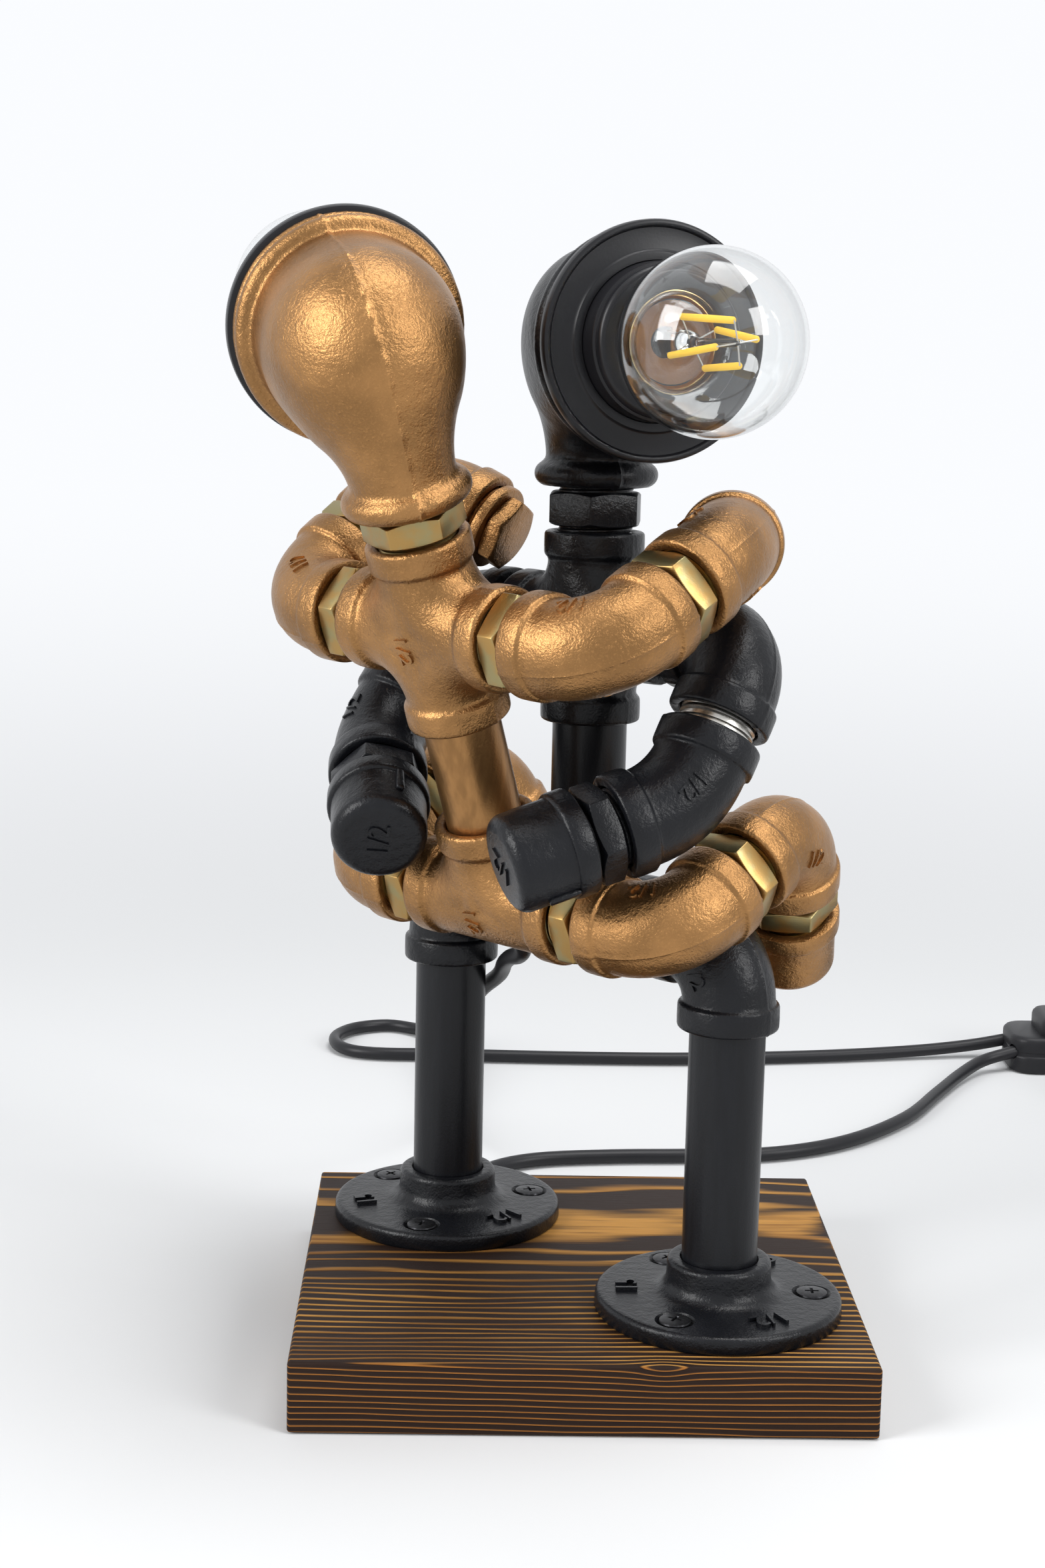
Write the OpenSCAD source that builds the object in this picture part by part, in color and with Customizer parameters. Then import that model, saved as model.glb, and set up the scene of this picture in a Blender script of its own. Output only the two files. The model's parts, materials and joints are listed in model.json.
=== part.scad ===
// Desk lamp made of two pipe-fitting figures on a pine plate.
// A black figure stands on two floor flanges. A bronze figure clings to its front:
// arms round the neck, legs round the hips. Each head is a reducing elbow with a lampholder
// and a globe bulb. Millimetres, +Z up, front is -Y, origin on the table under the plate centre.

/* [Plate] */
// Plate width, left to right
plate_w = 159; // [156:1:200]
// Plate depth, front to back
plate_d = 153; // [150:1:190]
// Plate thickness
plate_t = 20; // [18:0.5:30]

/* [Pipe] */
// Outside diameter of the half inch pipe
pipe_d = 21.3; // [21:0.1:21.5]
// Inside diameter of the half inch pipe
pipe_bore = 16; // [14:0.5:17]
// Visible length of pipe between hip tee and chest cross
torso_len = 29.8; // [26:0.2:40]
// Visible length of each leg pipe
leg_len = 67; // [60:1:90]

/* [Fittings] */
// Outside diameter of the rolled bead at each port
bead_d = 28.4; // [27.5:0.1:29]
// Length of the bead
bead_h = 7.5; // [6:0.5:8]
// Outside diameter of the cast body between beads
body_d = 26; // [25:0.5:26.5]
// Depth of a threaded socket
socket = 12; // [10:0.5:12]
// Centre to face of the 90 degree elbow
elbow_a = 23.5; // [23.5:0.5:25]
// Centre to face of the tees and crosses
tee_a = 26.5; // [26:0.5:28]
// Width across flats of the hex nipples
hex_af = 24; // [23:0.5:25]

/* [Heads] */
// Height of the port axis over the face of the neck bead
head_b = 40; // [39:0.5:44]
// Distance of the port face from the neck axis
head_port = 37; // [35:0.5:40]
// Diameter of the bulb globe
globe_d = 48; // [45:0.5:49]
// Heading of the black head, degrees about the neck
black_turn = -71.3; // [-75:1:-68]
// Heading of the bronze head, degrees about its neck
bronze_turn = 148.3; // [145:1:152]

/* [Cords] */
// Diameter of the flex
flex_d = 5; // [4:0.5:6]

/* [Hidden] */
$fn = 64;
eps = 0.01;
pipe_r = pipe_d / 2;
bore_r = pipe_bore / 2;
bead_r = bead_d / 2;
body_r = body_d / 2;
run_r = pipe_r + 0.05;
thread_len = 11.5;
hex_h = 7.2;
hex_gap = 10;

// ---- frames: each port of a fitting is a 4x4 frame, z pointing out of the port ----
ID = [[1, 0, 0, 0], [0, 1, 0, 0], [0, 0, 1, 0], [0, 0, 0, 1]];
function tr(v) = [[1, 0, 0, v[0]], [0, 1, 0, v[1]], [0, 0, 1, v[2]], [0, 0, 0, 1]];
function spin(a) = [[cos(a), -sin(a), 0, 0], [sin(a), cos(a), 0, 0], [0, 0, 1, 0], [0, 0, 0, 1]];
function tilt(a) = [[cos(a), 0, sin(a), 0], [0, 1, 0, 0], [-sin(a), 0, cos(a), 0], [0, 0, 0, 1]];
function unit(v) = v / norm(v);
function flat(v, n) = unit(v - (v * n) * n);
function axes(o, i, j, k) = [[i[0], j[0], k[0], o[0]], [i[1], j[1], k[1], o[1]],
  [i[2], j[2], k[2], o[2]], [0, 0, 0, 1]];
function frame(o, z, x) = let (k = unit(z), i = flat(x, k)) axes(o, i, cross(k, i), k);
function go(m, d) = m * tr([0, 0, d]);
function bend(m, roll, ang, a) = go(go(m * spin(roll), a) * tilt(ang), a);
function heading(a) = [cos(a), sin(a), 0];

// ---- standing figure ----
UP = [0, 0, 1];
hip_dir = heading(-44);
arm_dir = heading(-44.5);
fig = [0.5, 2.5, 0];
stance = 107.5;
flange_h = 15.3;
leg_z0 = plate_t + flange_h;
hip_z = leg_z0 + leg_len + elbow_a;
cross_z = hip_z + 2 * tee_a + 0.5 + torso_len;
hip_c = fig + [0, 0, hip_z];
cross_c = fig + [0, 0, cross_z];
neck_gap = 12.5;
foot_r = fig + stance / 2 * hip_dir;
foot_l = fig - stance / 2 * hip_dir;
hip_gap = stance / 2 - elbow_a - tee_a;
// visible thread left between the face of one fitting and the next, right and left arm
shoulder_gap = 7;
shoulder_gap_l = 4;
bright_gap = 4.5;
bright_gap_l = 5.2;
cap_len = 22;
elbow45_a = 20;

// arm chains of the standing figure: shoulder port, elbow outlet, forearm inlet and outlet
AR0 = frame(cross_c + (tee_a + shoulder_gap) * arm_dir, arm_dir, UP) * spin(146.5);
AR1 = bend(AR0, 0, 90, elbow_a);
AR2 = go(AR1, bright_gap) * spin(-51);
AR3 = bend(AR2, 0, 45, elbow45_a);
AL0 = frame(cross_c - (tee_a + shoulder_gap_l) * arm_dir, -arm_dir, UP) * spin(-138.3);
AL1 = bend(AL0, 0, 90, elbow_a);
AL2 = go(AL1, bright_gap_l) * spin(16.4);
AL3 = bend(AL2, 0, 45, elbow45_a);

// ---- clinging figure ----
rider_neck_gap = 8.6;
rider_shoulder_gap = 8.4;
rider_up = unit([-0.229, -0.265, 0.937]);
rider_hip = [-23.5, -21.1, 134.8];
rider_hip_dir = flat(heading(-44.15), rider_up);
rider_arm_dir = flat(heading(-46.3), rider_up);
rider_cross = rider_hip + (2 * tee_a + torso_len + 0.5) * rider_up;
LR0 = frame(rider_hip + (tee_a + hex_gap) * rider_hip_dir, rider_hip_dir, rider_up) * spin(-84);
LR1 = bend(LR0, 0, 90, elbow_a);
LR2 = go(LR1, hex_gap) * spin(-73.9);
LR3 = bend(LR2, 0, 90, elbow_a);
LL0 = frame(rider_hip - (tee_a + hex_gap) * rider_hip_dir, -rider_hip_dir, rider_up) * spin(84);
LL1 = bend(LL0, 0, 90, elbow_a);
LL2 = go(LL1, hex_gap) * spin(75.9);
LL3 = bend(LL2, 0, 90, elbow_a);
HR0 = frame(rider_cross + (tee_a + rider_shoulder_gap) * rider_arm_dir, rider_arm_dir, rider_up) * spin(-83);
HR1 = bend(HR0, 0, 90, elbow_a);
HR2 = go(HR1, hex_gap) * spin(-31);
HR3 = bend(HR2, 0, 45, elbow45_a);
HL0 = frame(rider_cross - (tee_a + rider_shoulder_gap) * rider_arm_dir, -rider_arm_dir, rider_up) * spin(76.4);
HL1 = bend(HL0, 0, 90, elbow_a);
HL2 = go(HL1, hex_gap) * spin(28.1);
HL3 = bend(HL2, 0, 90, elbow_a);

// ---- heads: local frame with the neck along z and the port along x ----
NECK = frame(cross_c + (tee_a + 0.5 + neck_gap) * UP, UP, [1, 0, 0]) * spin(black_turn);
RIDER_NECK = frame(rider_cross + (tee_a + rider_neck_gap) * rider_up, rider_up, rider_arm_dir)
  * spin(bronze_turn);
globe_x = head_port + 39.8;
holder_r = 21;

// ---- colours ----
black = [0.045, 0.045, 0.05];
bronze = [0.55, 0.33, 0.16];
zinc = [0.72, 0.66, 0.46];
pine = [0.62, 0.42, 0.23];
rubber = [0.03, 0.03, 0.03];

// ---- shared shapes ----
function arc(cx, cy, r, a0, a1, n) = [for (i = [0:n]) let (a = a0 + (a1 - a0) * i / n)
  [cx + r * cos(a), cy + r * sin(a)]];

module bead(r = bead_r, h = bead_h, c = 2) {
  rotate_extrude() polygon(concat([[0, 0]], arc(r - c, c, c, -90, 0, 5),
    arc(r - c, h - c, c, 0, 90, 5), [[0, h]]));
}

module at(m) {
  multmatrix(m) children();
}

module tube(r, r_in, h) {
  difference() {
    cylinder(r = r, h = h);
    translate([0, 0, -1]) cylinder(r = r_in, h = h + 2);
  }
}

// quarter of a ring that fills the crotch between the +x and the +z branch
module crotch(t) {
  translate([t, 0, t]) rotate([-90, 0, 180]) rotate_extrude(angle = 90) translate([t, 0])
    circle(r = body_r - 0.06);
}

module elbow(ang, a, r0, r1) {
  t = a - bead_h;
  big = t / tan(ang / 2);
  difference() {
    union() {
      bead();
      translate([big, 0, bead_h]) rotate([90, 0, 180]) rotate_extrude(angle = ang)
        translate([big, 0]) circle(r = body_r);
      at(bend(ID, 0, ang, a)) translate([0, 0, -bead_h]) bead();
    }
    translate([big, 0, bead_h]) rotate([90, 0, 180]) rotate_extrude(angle = ang)
      translate([big, 0]) circle(r = bore_r);
    translate([0, 0, -1]) cylinder(r = r0, h = socket + 1);
    at(bend(ID, 0, ang, a)) translate([0, 0, -socket]) cylinder(r = r1, h = socket + 1);
  }
}

// run along x, branches along z; lower branch only for the cross
module tee_body(a, lower, r_run, r_up) {
  t = a - bead_h;
  difference() {
    union() {
      for (s = [0, 180]) rotate([0, 90, s]) translate([0, 0, t]) bead();
      rotate([0, 90, 0]) translate([0, 0, -t]) cylinder(r = body_r, h = 2 * t);
      translate([0, 0, t]) bead();
      cylinder(r = body_r, h = t);
      for (s = [0, 180]) rotate([0, 0, s]) crotch(t);
      if (lower) {
        translate([0, 0, -a]) bead();
        translate([0, 0, -t]) cylinder(r = body_r, h = t);
        for (s = [0, 180]) rotate([180, 0, s]) crotch(t);
      }
    }
    rotate([0, 90, 0]) translate([0, 0, -a]) cylinder(r = bore_r, h = 2 * a);
    translate([0, 0, lower ? -a : 0]) cylinder(r = bore_r, h = lower ? 2 * a : a);
    for (s = [0, 180]) rotate([0, 90, s]) translate([0, 0, a - socket])
      cylinder(r = r_run, h = socket + 1);
    translate([0, 0, a - socket]) cylinder(r = r_up, h = socket + 1);
    if (lower) translate([0, 0, -a - 1]) cylinder(r = pipe_r, h = socket + 1);
  }
}

// hex nipple on z, its gap between port faces starting at z = 0
module hex_nipple(gap, h, af) {
  difference() {
    union() {
      translate([0, 0, -thread_len]) cylinder(r = pipe_r, h = gap + 2 * thread_len);
      intersection() {
        translate([0, 0, (gap - h) / 2]) cylinder(d = af / cos(30), h = h, $fn = 6);
        translate([0, 0, (gap - h) / 2]) rotate_extrude() polygon([[0, 0], [af / 2 - 0.4, 0],
          [af / 2 + 2, 1.4], [af / 2 + 2, h - 1.4], [af / 2 - 0.4, h], [0, h]]);
      }
    }
    translate([0, 0, -thread_len - 1]) cylinder(r = bore_r - 0.5, h = gap + 2 * thread_len + 2);
  }
}

module plain_nipple(gap) {
  translate([0, 0, -thread_len]) tube(pipe_r, bore_r - 0.5, gap + 2 * thread_len);
}

module pipe_cap() {
  difference() {
    rotate_extrude() polygon(concat([[0, 0]], arc(13, 1.6, 1.6, -90, 0, 4),
      arc(13, 4.4, 1.6, 0, 60, 3), [[13.4, 7], [13.3, 12]],
      arc(13.2 - 4, cap_len - 4, 4, 0, 90, 6), [[0, cap_len]]));
    translate([0, 0, -1]) cylinder(r = pipe_r, h = socket + 1);
  }
}

module hex_plug() {
  translate([0, 0, -thread_len]) cylinder(r = pipe_r, h = thread_len + 1.6);
  translate([0, 0, 1.5]) rotate_extrude() polygon(concat([[0, 0]], arc(11.6, 1, 1, -90, 0, 4),
    arc(11.6, 2.2, 1, 0, 90, 4), [[0, 3.2]]));
  intersection() {
    translate([0, 0, 4.6]) cylinder(d = 19 / cos(30), h = 5.4, $fn = 6);
    translate([0, 0, 4.6]) rotate_extrude() polygon([[0, 0], [12, 0], [12, 4], [9, 5.4], [0, 5.4]]);
  }
}

// ---- head casting: circles strung between a throat curve and a crown curve ----
throat_r = 14.5;
skin_x = head_port - 9;
skin_r = 27;
dome_x = 9;
skin_end = skin_x + eps;
function throat(s) = [throat_r + (skin_end - throat_r) * (1 - cos(90 * s)),
  6 + (head_b - skin_r - 6) * sin(90 * s)];
// crown: straight up the back of the neck, a quarter circle over the dome, level to the port
function crown(s) = s < 0.4
  ? [-throat_r + (dome_x - skin_r + throat_r) * s / 0.4, 6 + (head_b - 6) * s / 0.4]
  : s < 0.9 ? let (a = 180 - 90 * (s - 0.4) / 0.5) [dome_x + skin_r * cos(a), head_b + skin_r * sin(a)]
  : [dome_x + (skin_end - dome_x) * (s - 0.9) / 0.1, head_b + skin_r];
// the dome is narrower across than from throat to crown, and round again where it meets the port
function squeeze(s) = 1 - 0.135 * pow(max(0, sin(180 * s)), 0.6);
rings = 20;
ring_n = 40;
skin_pts = [for (i = [0:rings], k = [0:ring_n - 1])
  let (p = throat(i / rings), q = crown(i / rings), c = (p + q) / 2, h = (p - q) / 2,
    a = 360 * k / ring_n)
  [c[0] + h[0] * cos(a), norm(h) * squeeze(i / rings) * sin(a), c[1] + h[1] * cos(a)]];
skin_faces = concat([[for (k = [0:ring_n - 1]) ring_n - 1 - k]],
  [for (i = [0:rings - 1], k = [0:ring_n - 1]) let (a = i * ring_n, b = a + ring_n,
    n = (k + 1) % ring_n) [a + k, a + n, b + n, b + k]],
  [[for (k = [0:ring_n - 1]) rings * ring_n + k]]);

module casting() {
  difference() {
    union() {
      bead(17.5, 7, 3.4);
      polyhedron(skin_pts, [for (f = skin_faces) [for (k = [len(f) - 1:-1:0]) f[k]]]);
      translate([skin_x, 0, head_b]) rotate([0, 90, 0]) bead(30.8, 9, 3);
    }
    translate([head_port - 23, 0, head_b]) rotate([0, 90, 0]) cylinder(r = 22, h = 24);
    translate([6, 0, 32]) sphere(r = 13.5);
    translate([0, 0, -1]) cylinder(r = run_r, h = socket + 1);
    cylinder(r = bore_r, h = 32);
  }
}

module ring_plate() {
  translate([head_port, 0, head_b]) rotate([0, 90, 0]) rotate_extrude() polygon(concat(
    [[holder_r, 0]], arc(31.2, 0.6, 0.6, -90, 0, 3), [[31.8, 3.2], [31.2, 4], [29.8, 4], [29.2, 3.4],
    [holder_r + 2.2, 3.4], [holder_r + 1.4, 4], [holder_r, 4]]));
}

module lampholder() {
  translate([head_port, 0, head_b]) rotate([0, 90, 0]) rotate_extrude() polygon(concat(
    [[3.5, -21], [holder_r - 3, -21], [holder_r, -18], [holder_r, 10.4], [holder_r - 0.7, 11],
    [holder_r - 0.7, 12]], arc(holder_r - 2.4, 12.6, 1.4, 0, 90, 4),
    [[14.6, 14], [13.3, 12.6], [13.3, -15], [3.5, -15]]));
}

globe_r = globe_d / 2;
module bulb_glass() {
  gx = globe_x - head_port;
  neck_z = gx - sqrt(pow(globe_r + 4, 2) - pow(17, 2));
  turn_a = asin((gx - neck_z) / (globe_r + 4));
  translate([head_port, 0, head_b]) rotate([0, 90, 0]) rotate_extrude() polygon(concat(
    [[0, 13.2], [13, 13.2]],
    arc(17, neck_z, 4, 180, 180 - (90 - (90 - turn_a)), 5),
    arc(0, gx, globe_r, -turn_a, 90, 26),
    arc(0, gx, globe_r - 1, 90, -turn_a, 26),
    arc(17, neck_z, 5, 180 - turn_a, 180, 5),
    [[12, 15.2], [11, 14.4], [8, 15], [5, 17.5], [3, 21], [2.3, 23], [0, 23]]));
}

module bulb_cap() {
  translate([head_port, 0, head_b]) rotate([0, 90, 0]) rotate_extrude() polygon([[0, -14], [4, -14],
    [5, -12.5], [9, -11.8], [12.4, -8.5], [13.3, -7.6], [13.3, 8.6], [12.4, 9.5], [12.4, 12.2],
    [13.2, 12.9], [13.2, 13.2], [0, 13.2]]);
}

module filaments() {
  translate([head_port, 0, head_b]) rotate([0, 90, 0]) {
    translate([0, 0, 23]) cylinder(r = 0.5, h = 28.5);
    for (a = [45:90:315]) rotate([0, 0, a]) {
      translate([6.5, 0, 24]) rotate([0, -2, 0]) cylinder(r = 0.9, h = 27);
      translate([0, 0, 24.5]) rotate([0, 90, 0]) cylinder(r = 0.4, h = 6.5);
      translate([0, 0, 50.5]) rotate([0, 90, 0]) cylinder(r = 0.4, h = 5.5);
    }
  }
}

// ---- flex: one tube along a smooth curve through route points ----
function lerp3(a, b, c, d, u) = 0.5 * ((2 * b) + (c - a) * u + (2 * a - 5 * b + 4 * c - d) * u * u
  + (3 * b - a - 3 * c + d) * u * u * u);
function smooth(p, n) = [for (i = [0:len(p) - 2], k = [0:n - 1])
  lerp3(p[max(i - 1, 0)], p[i], p[i + 1], p[min(i + 2, len(p) - 1)], k / n), p[len(p) - 1]];
function side(p, i) = let (a = p[max(i - 1, 0)], b = p[min(i + 1, len(p) - 1)], t = unit(b - a),
  w = abs(t[2]) > 0.8 ? [1, 0, 0] : UP) frame(p[i], t, w);
module flex(route, n, r) {
  p = smooth(route, n);
  m = 8;
  pts = [for (i = [0:len(p) - 1]) let (f = side(p, i)) for (k = [0:m - 1]) let (a = 360 * k / m)
    p[i] + r * cos(a) * [f[0][0], f[1][0], f[2][0]] + r * sin(a) * [f[0][1], f[1][1], f[2][1]]];
  last = (len(p) - 1) * m;
  polyhedron(pts, concat([[for (k = [0:m - 1]) k]],
    [for (i = [0:len(p) - 2], k = [0:m - 1]) let (a = i * m, n = (k + 1) % m)
      [a + k, a + m + k, a + m + n, a + n]],
    [[for (k = [0:m - 1]) last + m - 1 - k]]));
}

fr = flex_d / 2;
flex_hole = [foot_l[0], foot_l[1], 0];
groove_z = 5;
rider_flex_route = [[-18.6, -16, 121.8], [-17.6, -12.5, 117.6], [-18.6, -3, 113.6], [-20.4, 12, 109.4],
  [-22, 26, 104], [-23.4, 39, 97], [-29.5, 55, 87], [-36, 74, 71], [-39, 100, 48], [-39, 130, 27],
  [-39, 160, 12], [-39, 190, 5], [-39, 222, 6.5], [-39, 250, 10], [-40, 274, 10], [-44, 294, 5],
  [-53, 308, 2.7], [-66, 314, 2.6],
  [-80, 308, 2.6], [-87, 294, 2.6], [-83, 279, 2.6], [-70, 272, 2.6], [-40, 271.5, 2.6], [10, 270, 2.6],
  [60, 271, 2.6], [110, 277, 2.6], [150, 284, 3.2], [176, 288, 5], [192, 288, 8]];
stander_flex_route = [[flex_hole[0], 62, groove_z], [flex_hole[0], 80, groove_z],
  [flex_hole[0] + 1, 92, 4], [-34, 110, 2.8], [-25, 130, 2.6], [-8, 142, 2.6], [20, 147, 2.6],
  [50, 149, 2.6], [80, 153, 2.6], [108, 168, 2.6], [134, 196, 2.6], [152, 228, 2.6], [166, 252, 3.2],
  [178, 266, 5], [192, 270, 8]];
switch_at = [190, 279, 0];
// mains lead: out of the switch to the coil, which it enters at the bottom, then from the top of
// the coil to the plug
mains_in_route = [[255, 279, 8], [263, 279, 6.6], [271.4, 277.3, 4.8], [278.6, 272.6, 3.3],
  [283.3, 265.4, 2.8], [285, 257, 2.55], [285, 240, 2.52], [285, 222, 2.52], [285, 205, 2.52]];
mains_out_route = [[285, 205, 12.54], [285, 195, 12.64], [285, 186, 12.6], [285, 178, 10.6],
  [285, 168, 7.6], [285, 160, 6.85]];
coil_at = [250, 205, 0];
coil_r = 30;

// ================= nodes =================

module base_plate() {
  color(pine) difference() {
    intersection() {
      translate([-plate_w / 2, -plate_d / 2, 0]) cube([plate_w, plate_d, plate_t]);
      // small chamfers on the long edges and on the ends
      rotate([90, 0, 90]) linear_extrude(plate_w + 2, center = true) polygon([
        [-plate_d / 2 + 1, 0], [plate_d / 2 - 1, 0], [plate_d / 2, 1],
        [plate_d / 2, plate_t - 1], [plate_d / 2 - 1, plate_t], [-plate_d / 2 + 1, plate_t],
        [-plate_d / 2, plate_t - 1], [-plate_d / 2, 1]]);
      rotate([90, 0, 0]) linear_extrude(plate_d + 2, center = true) polygon([
        [-plate_w / 2 + 1, 0], [plate_w / 2 - 1, 0], [plate_w / 2, 1],
        [plate_w / 2, plate_t - 1], [plate_w / 2 - 1, plate_t], [-plate_w / 2 + 1, plate_t],
        [-plate_w / 2, plate_t - 1], [-plate_w / 2, 1]]);
    }
    // wiring hole under the left flange and its groove to the back edge
    translate([flex_hole[0], flex_hole[1], -1]) cylinder(r = 7, h = plate_t + 2);
    translate([flex_hole[0] - 4, flex_hole[1], -1]) cube([8, plate_d, 9.5]);
    for (s = screw_spots) translate([s[0], s[1], plate_t - 13]) cylinder(r = 2, h = 14);
  }
}

screw_ring = 26.5;
function around(c, a) = [for (k = [0:2]) c + screw_ring * heading(a + 120 * k)];
screw_spots = concat(around(foot_r, -2), around(foot_l, 13.5));

module floor_flange() {
  difference() {
    rotate_extrude() polygon(concat([[0, 0], [34.4, 0]], [[35, 0.6], [35, 3.6]],
      arc(33.4, 3.9, 1.6, 0, 80, 4),
      [[20, 5.7], [17.2, 6.6], [15.4, 8.4], [14.7, 10.4]], arc(14.7 - 1.6, flange_h - 1.6, 1.6, 0, 90, 4),
      [[0, flange_h]]));
    translate([0, 0, -1]) cylinder(r = bore_r, h = 20);
    translate([0, 0, flange_h - 12.2]) cylinder(r = pipe_r, h = 20);
  }
}

module floor_flanges() {
  color(black) difference() {
    union() {
      translate([foot_r[0], foot_r[1], plate_t]) floor_flange();
      translate([foot_l[0], foot_l[1], plate_t]) floor_flange();
    }
    for (s = screw_spots) translate([s[0], s[1], plate_t]) {
      translate([0, 0, -1]) cylinder(r = 2.4, h = 12);
      translate([0, 0, 2.9]) cylinder(r1 = 2.4, r2 = 5.4, h = 3);
    }
  }
}

module flange_screws() {
  color([0.5, 0.5, 0.5]) for (s = screw_spots) translate([s[0], s[1], plate_t]) difference() {
    union() {
      translate([0, 0, -12]) cylinder(r = 2, h = 16);
      translate([0, 0, 2.9]) cylinder(r1 = 2.2, r2 = 4.4, h = 2.2);
      translate([0, 0, 5.1]) cylinder(r1 = 4.4, r2 = 3.4, h = 0.6);
    }
    for (a = [45, 135]) rotate([0, 0, a]) translate([-2.6, -0.45, 4]) cube([5.2, 0.9, 3]);
  }
}

module leg_pipes() {
  color(black) for (f = [foot_r, foot_l]) translate([f[0], f[1], leg_z0 - 12.2])
    tube(pipe_r, bore_r, leg_len + 12.2 + socket);
}

module hip_elbows() {
  color(black) {
    at(frame([foot_r[0], foot_r[1], leg_z0 + leg_len], UP, -hip_dir)) elbow(90, elbow_a, pipe_r, pipe_r);
    at(frame([foot_l[0], foot_l[1], leg_z0 + leg_len], UP, hip_dir)) elbow(90, elbow_a, pipe_r, pipe_r);
  }
}

module hip_nipples() {
  color(black) {
    at(frame(hip_c + tee_a * hip_dir, hip_dir, UP)) plain_nipple(hip_gap);
    at(frame(hip_c - tee_a * hip_dir, -hip_dir, UP)) plain_nipple(hip_gap);
  }
}

module hip_tee() {
  color(black) at(frame(hip_c, UP, hip_dir)) tee_body(tee_a, false, pipe_r, pipe_r);
}

module torso_pipe() {
  color(black) translate(hip_c + [0, 0, tee_a - socket])
    tube(pipe_r, bore_r, torso_len + 2 * socket);
}

module chest_cross() {
  color(black) at(frame(cross_c, UP, arm_dir)) tee_body(tee_a + 0.5, true, pipe_r, pipe_r);
}

module neck_nipple() {
  color(black) at(frame(cross_c + (tee_a + 0.5) * UP, UP, heading(22))) hex_nipple(neck_gap, 9.6, 24.6);
}

module shoulder_nipples() {
  color(black) {
    at(frame(cross_c + (tee_a + 0.5) * arm_dir, arm_dir, UP)) plain_nipple(shoulder_gap - 0.5);
    at(frame(cross_c - (tee_a + 0.5) * arm_dir, -arm_dir, UP)) plain_nipple(shoulder_gap_l - 0.5);
  }
}

module head_casting() {
  color(black) at(NECK) casting();
}

module head_ring() {
  color(rubber) at(NECK) ring_plate();
}

module head_lampholder() {
  color(rubber) at(NECK) lampholder();
}

module head_bulb_glass() {
  color([0.9, 0.92, 0.95, 0.35]) at(NECK) bulb_glass();
}

module head_bulb_cap() {
  color([0.75, 0.6, 0.3]) at(NECK) bulb_cap();
}

module head_filaments() {
  color([1, 0.8, 0.1]) at(NECK) filaments();
}

module arm_r_elbow() {
  color(black) at(AR0) elbow(90, elbow_a, run_r, pipe_r);
}

module arm_r_nipple() {
  color(zinc) at(AR1) plain_nipple(bright_gap);
}

module arm_r_forearm() {
  color(black) at(AR2) elbow(45, elbow45_a, run_r, pipe_r);
}

module arm_r_hex() {
  color(black) at(AR3) hex_nipple(hex_gap, hex_h, hex_af);
}

module arm_r_cap() {
  color(black) at(go(AR3, hex_gap)) pipe_cap();
}

module arm_l_elbow() {
  color(black) at(AL0) elbow(90, elbow_a, run_r, pipe_r);
}

module arm_l_nipple() {
  color(zinc) at(AL1) plain_nipple(bright_gap_l);
}

module arm_l_forearm() {
  color(black) at(AL2) elbow(45, elbow45_a, run_r, pipe_r);
}

module arm_l_hex() {
  color(black) at(AL3) hex_nipple(hex_gap, hex_h, hex_af);
}

module arm_l_cap() {
  color(black) at(go(AL3, hex_gap)) pipe_cap();
}

module rider_hip_tee() {
  color(bronze) difference() {
    at(frame(rider_hip, rider_up, rider_hip_dir)) tee_body(tee_a, false, pipe_r, pipe_r);
    at(frame([-21, -18.5, 129], [0.3, 0.42, -0.86], UP)) cylinder(r = fr, h = 20);
  }
}

module rider_torso_pipe() {
  color(bronze) at(frame(rider_hip + (tee_a - socket) * rider_up, rider_up, UP))
    tube(pipe_r, bore_r, torso_len + 0.5 + 2 * socket);
}

module rider_chest_cross() {
  color(bronze) at(frame(rider_cross, rider_up, rider_arm_dir)) tee_body(tee_a, true, pipe_r, pipe_r);
}

module rider_hex_nipples() {
  color(zinc) {
    at(frame(rider_cross + tee_a * rider_up, rider_up, rider_arm_dir) * spin(48))
      hex_nipple(rider_neck_gap, hex_h, hex_af);
    for (s = [-1, 1]) {
      at(frame(rider_cross + s * tee_a * rider_arm_dir, s * rider_arm_dir, rider_up))
        hex_nipple(rider_shoulder_gap, hex_h, hex_af);
      at(frame(rider_hip + s * tee_a * rider_hip_dir, s * rider_hip_dir, rider_up))
        hex_nipple(hex_gap, hex_h, hex_af);
    }
  }
}

module rider_head_casting() {
  color(bronze) at(RIDER_NECK) casting();
}

module rider_head_ring() {
  color(rubber) at(RIDER_NECK) ring_plate();
}

module rider_head_lampholder() {
  color(rubber) at(RIDER_NECK) lampholder();
}

module rider_head_bulb_glass() {
  color([0.9, 0.92, 0.95, 0.35]) at(RIDER_NECK) bulb_glass();
}

module rider_head_bulb_cap() {
  color([0.75, 0.6, 0.3]) at(RIDER_NECK) bulb_cap();
}

module rider_head_filaments() {
  color([1, 0.8, 0.1]) at(RIDER_NECK) filaments();
}

module rider_leg_r_thigh() {
  color(bronze) at(LR0) elbow(90, elbow_a, run_r, pipe_r);
}

module rider_leg_r_hexes() {
  color(zinc) {
    at(LR1) hex_nipple(hex_gap, hex_h, hex_af);
    at(LR3) hex_nipple(hex_gap, hex_h, hex_af);
  }
}

module rider_leg_r_shin() {
  color(bronze) at(LR2) elbow(90, elbow_a, pipe_r, pipe_r);
}

module rider_leg_r_foot() {
  color(bronze) at(go(LR3, hex_gap)) pipe_cap();
}

module rider_leg_l_thigh() {
  color(bronze) at(LL0) elbow(90, elbow_a, run_r, pipe_r);
}

module rider_leg_l_hexes() {
  color(zinc) {
    at(LL1) hex_nipple(hex_gap, hex_h, hex_af);
    at(LL3) hex_nipple(hex_gap, hex_h, hex_af);
  }
}

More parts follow.
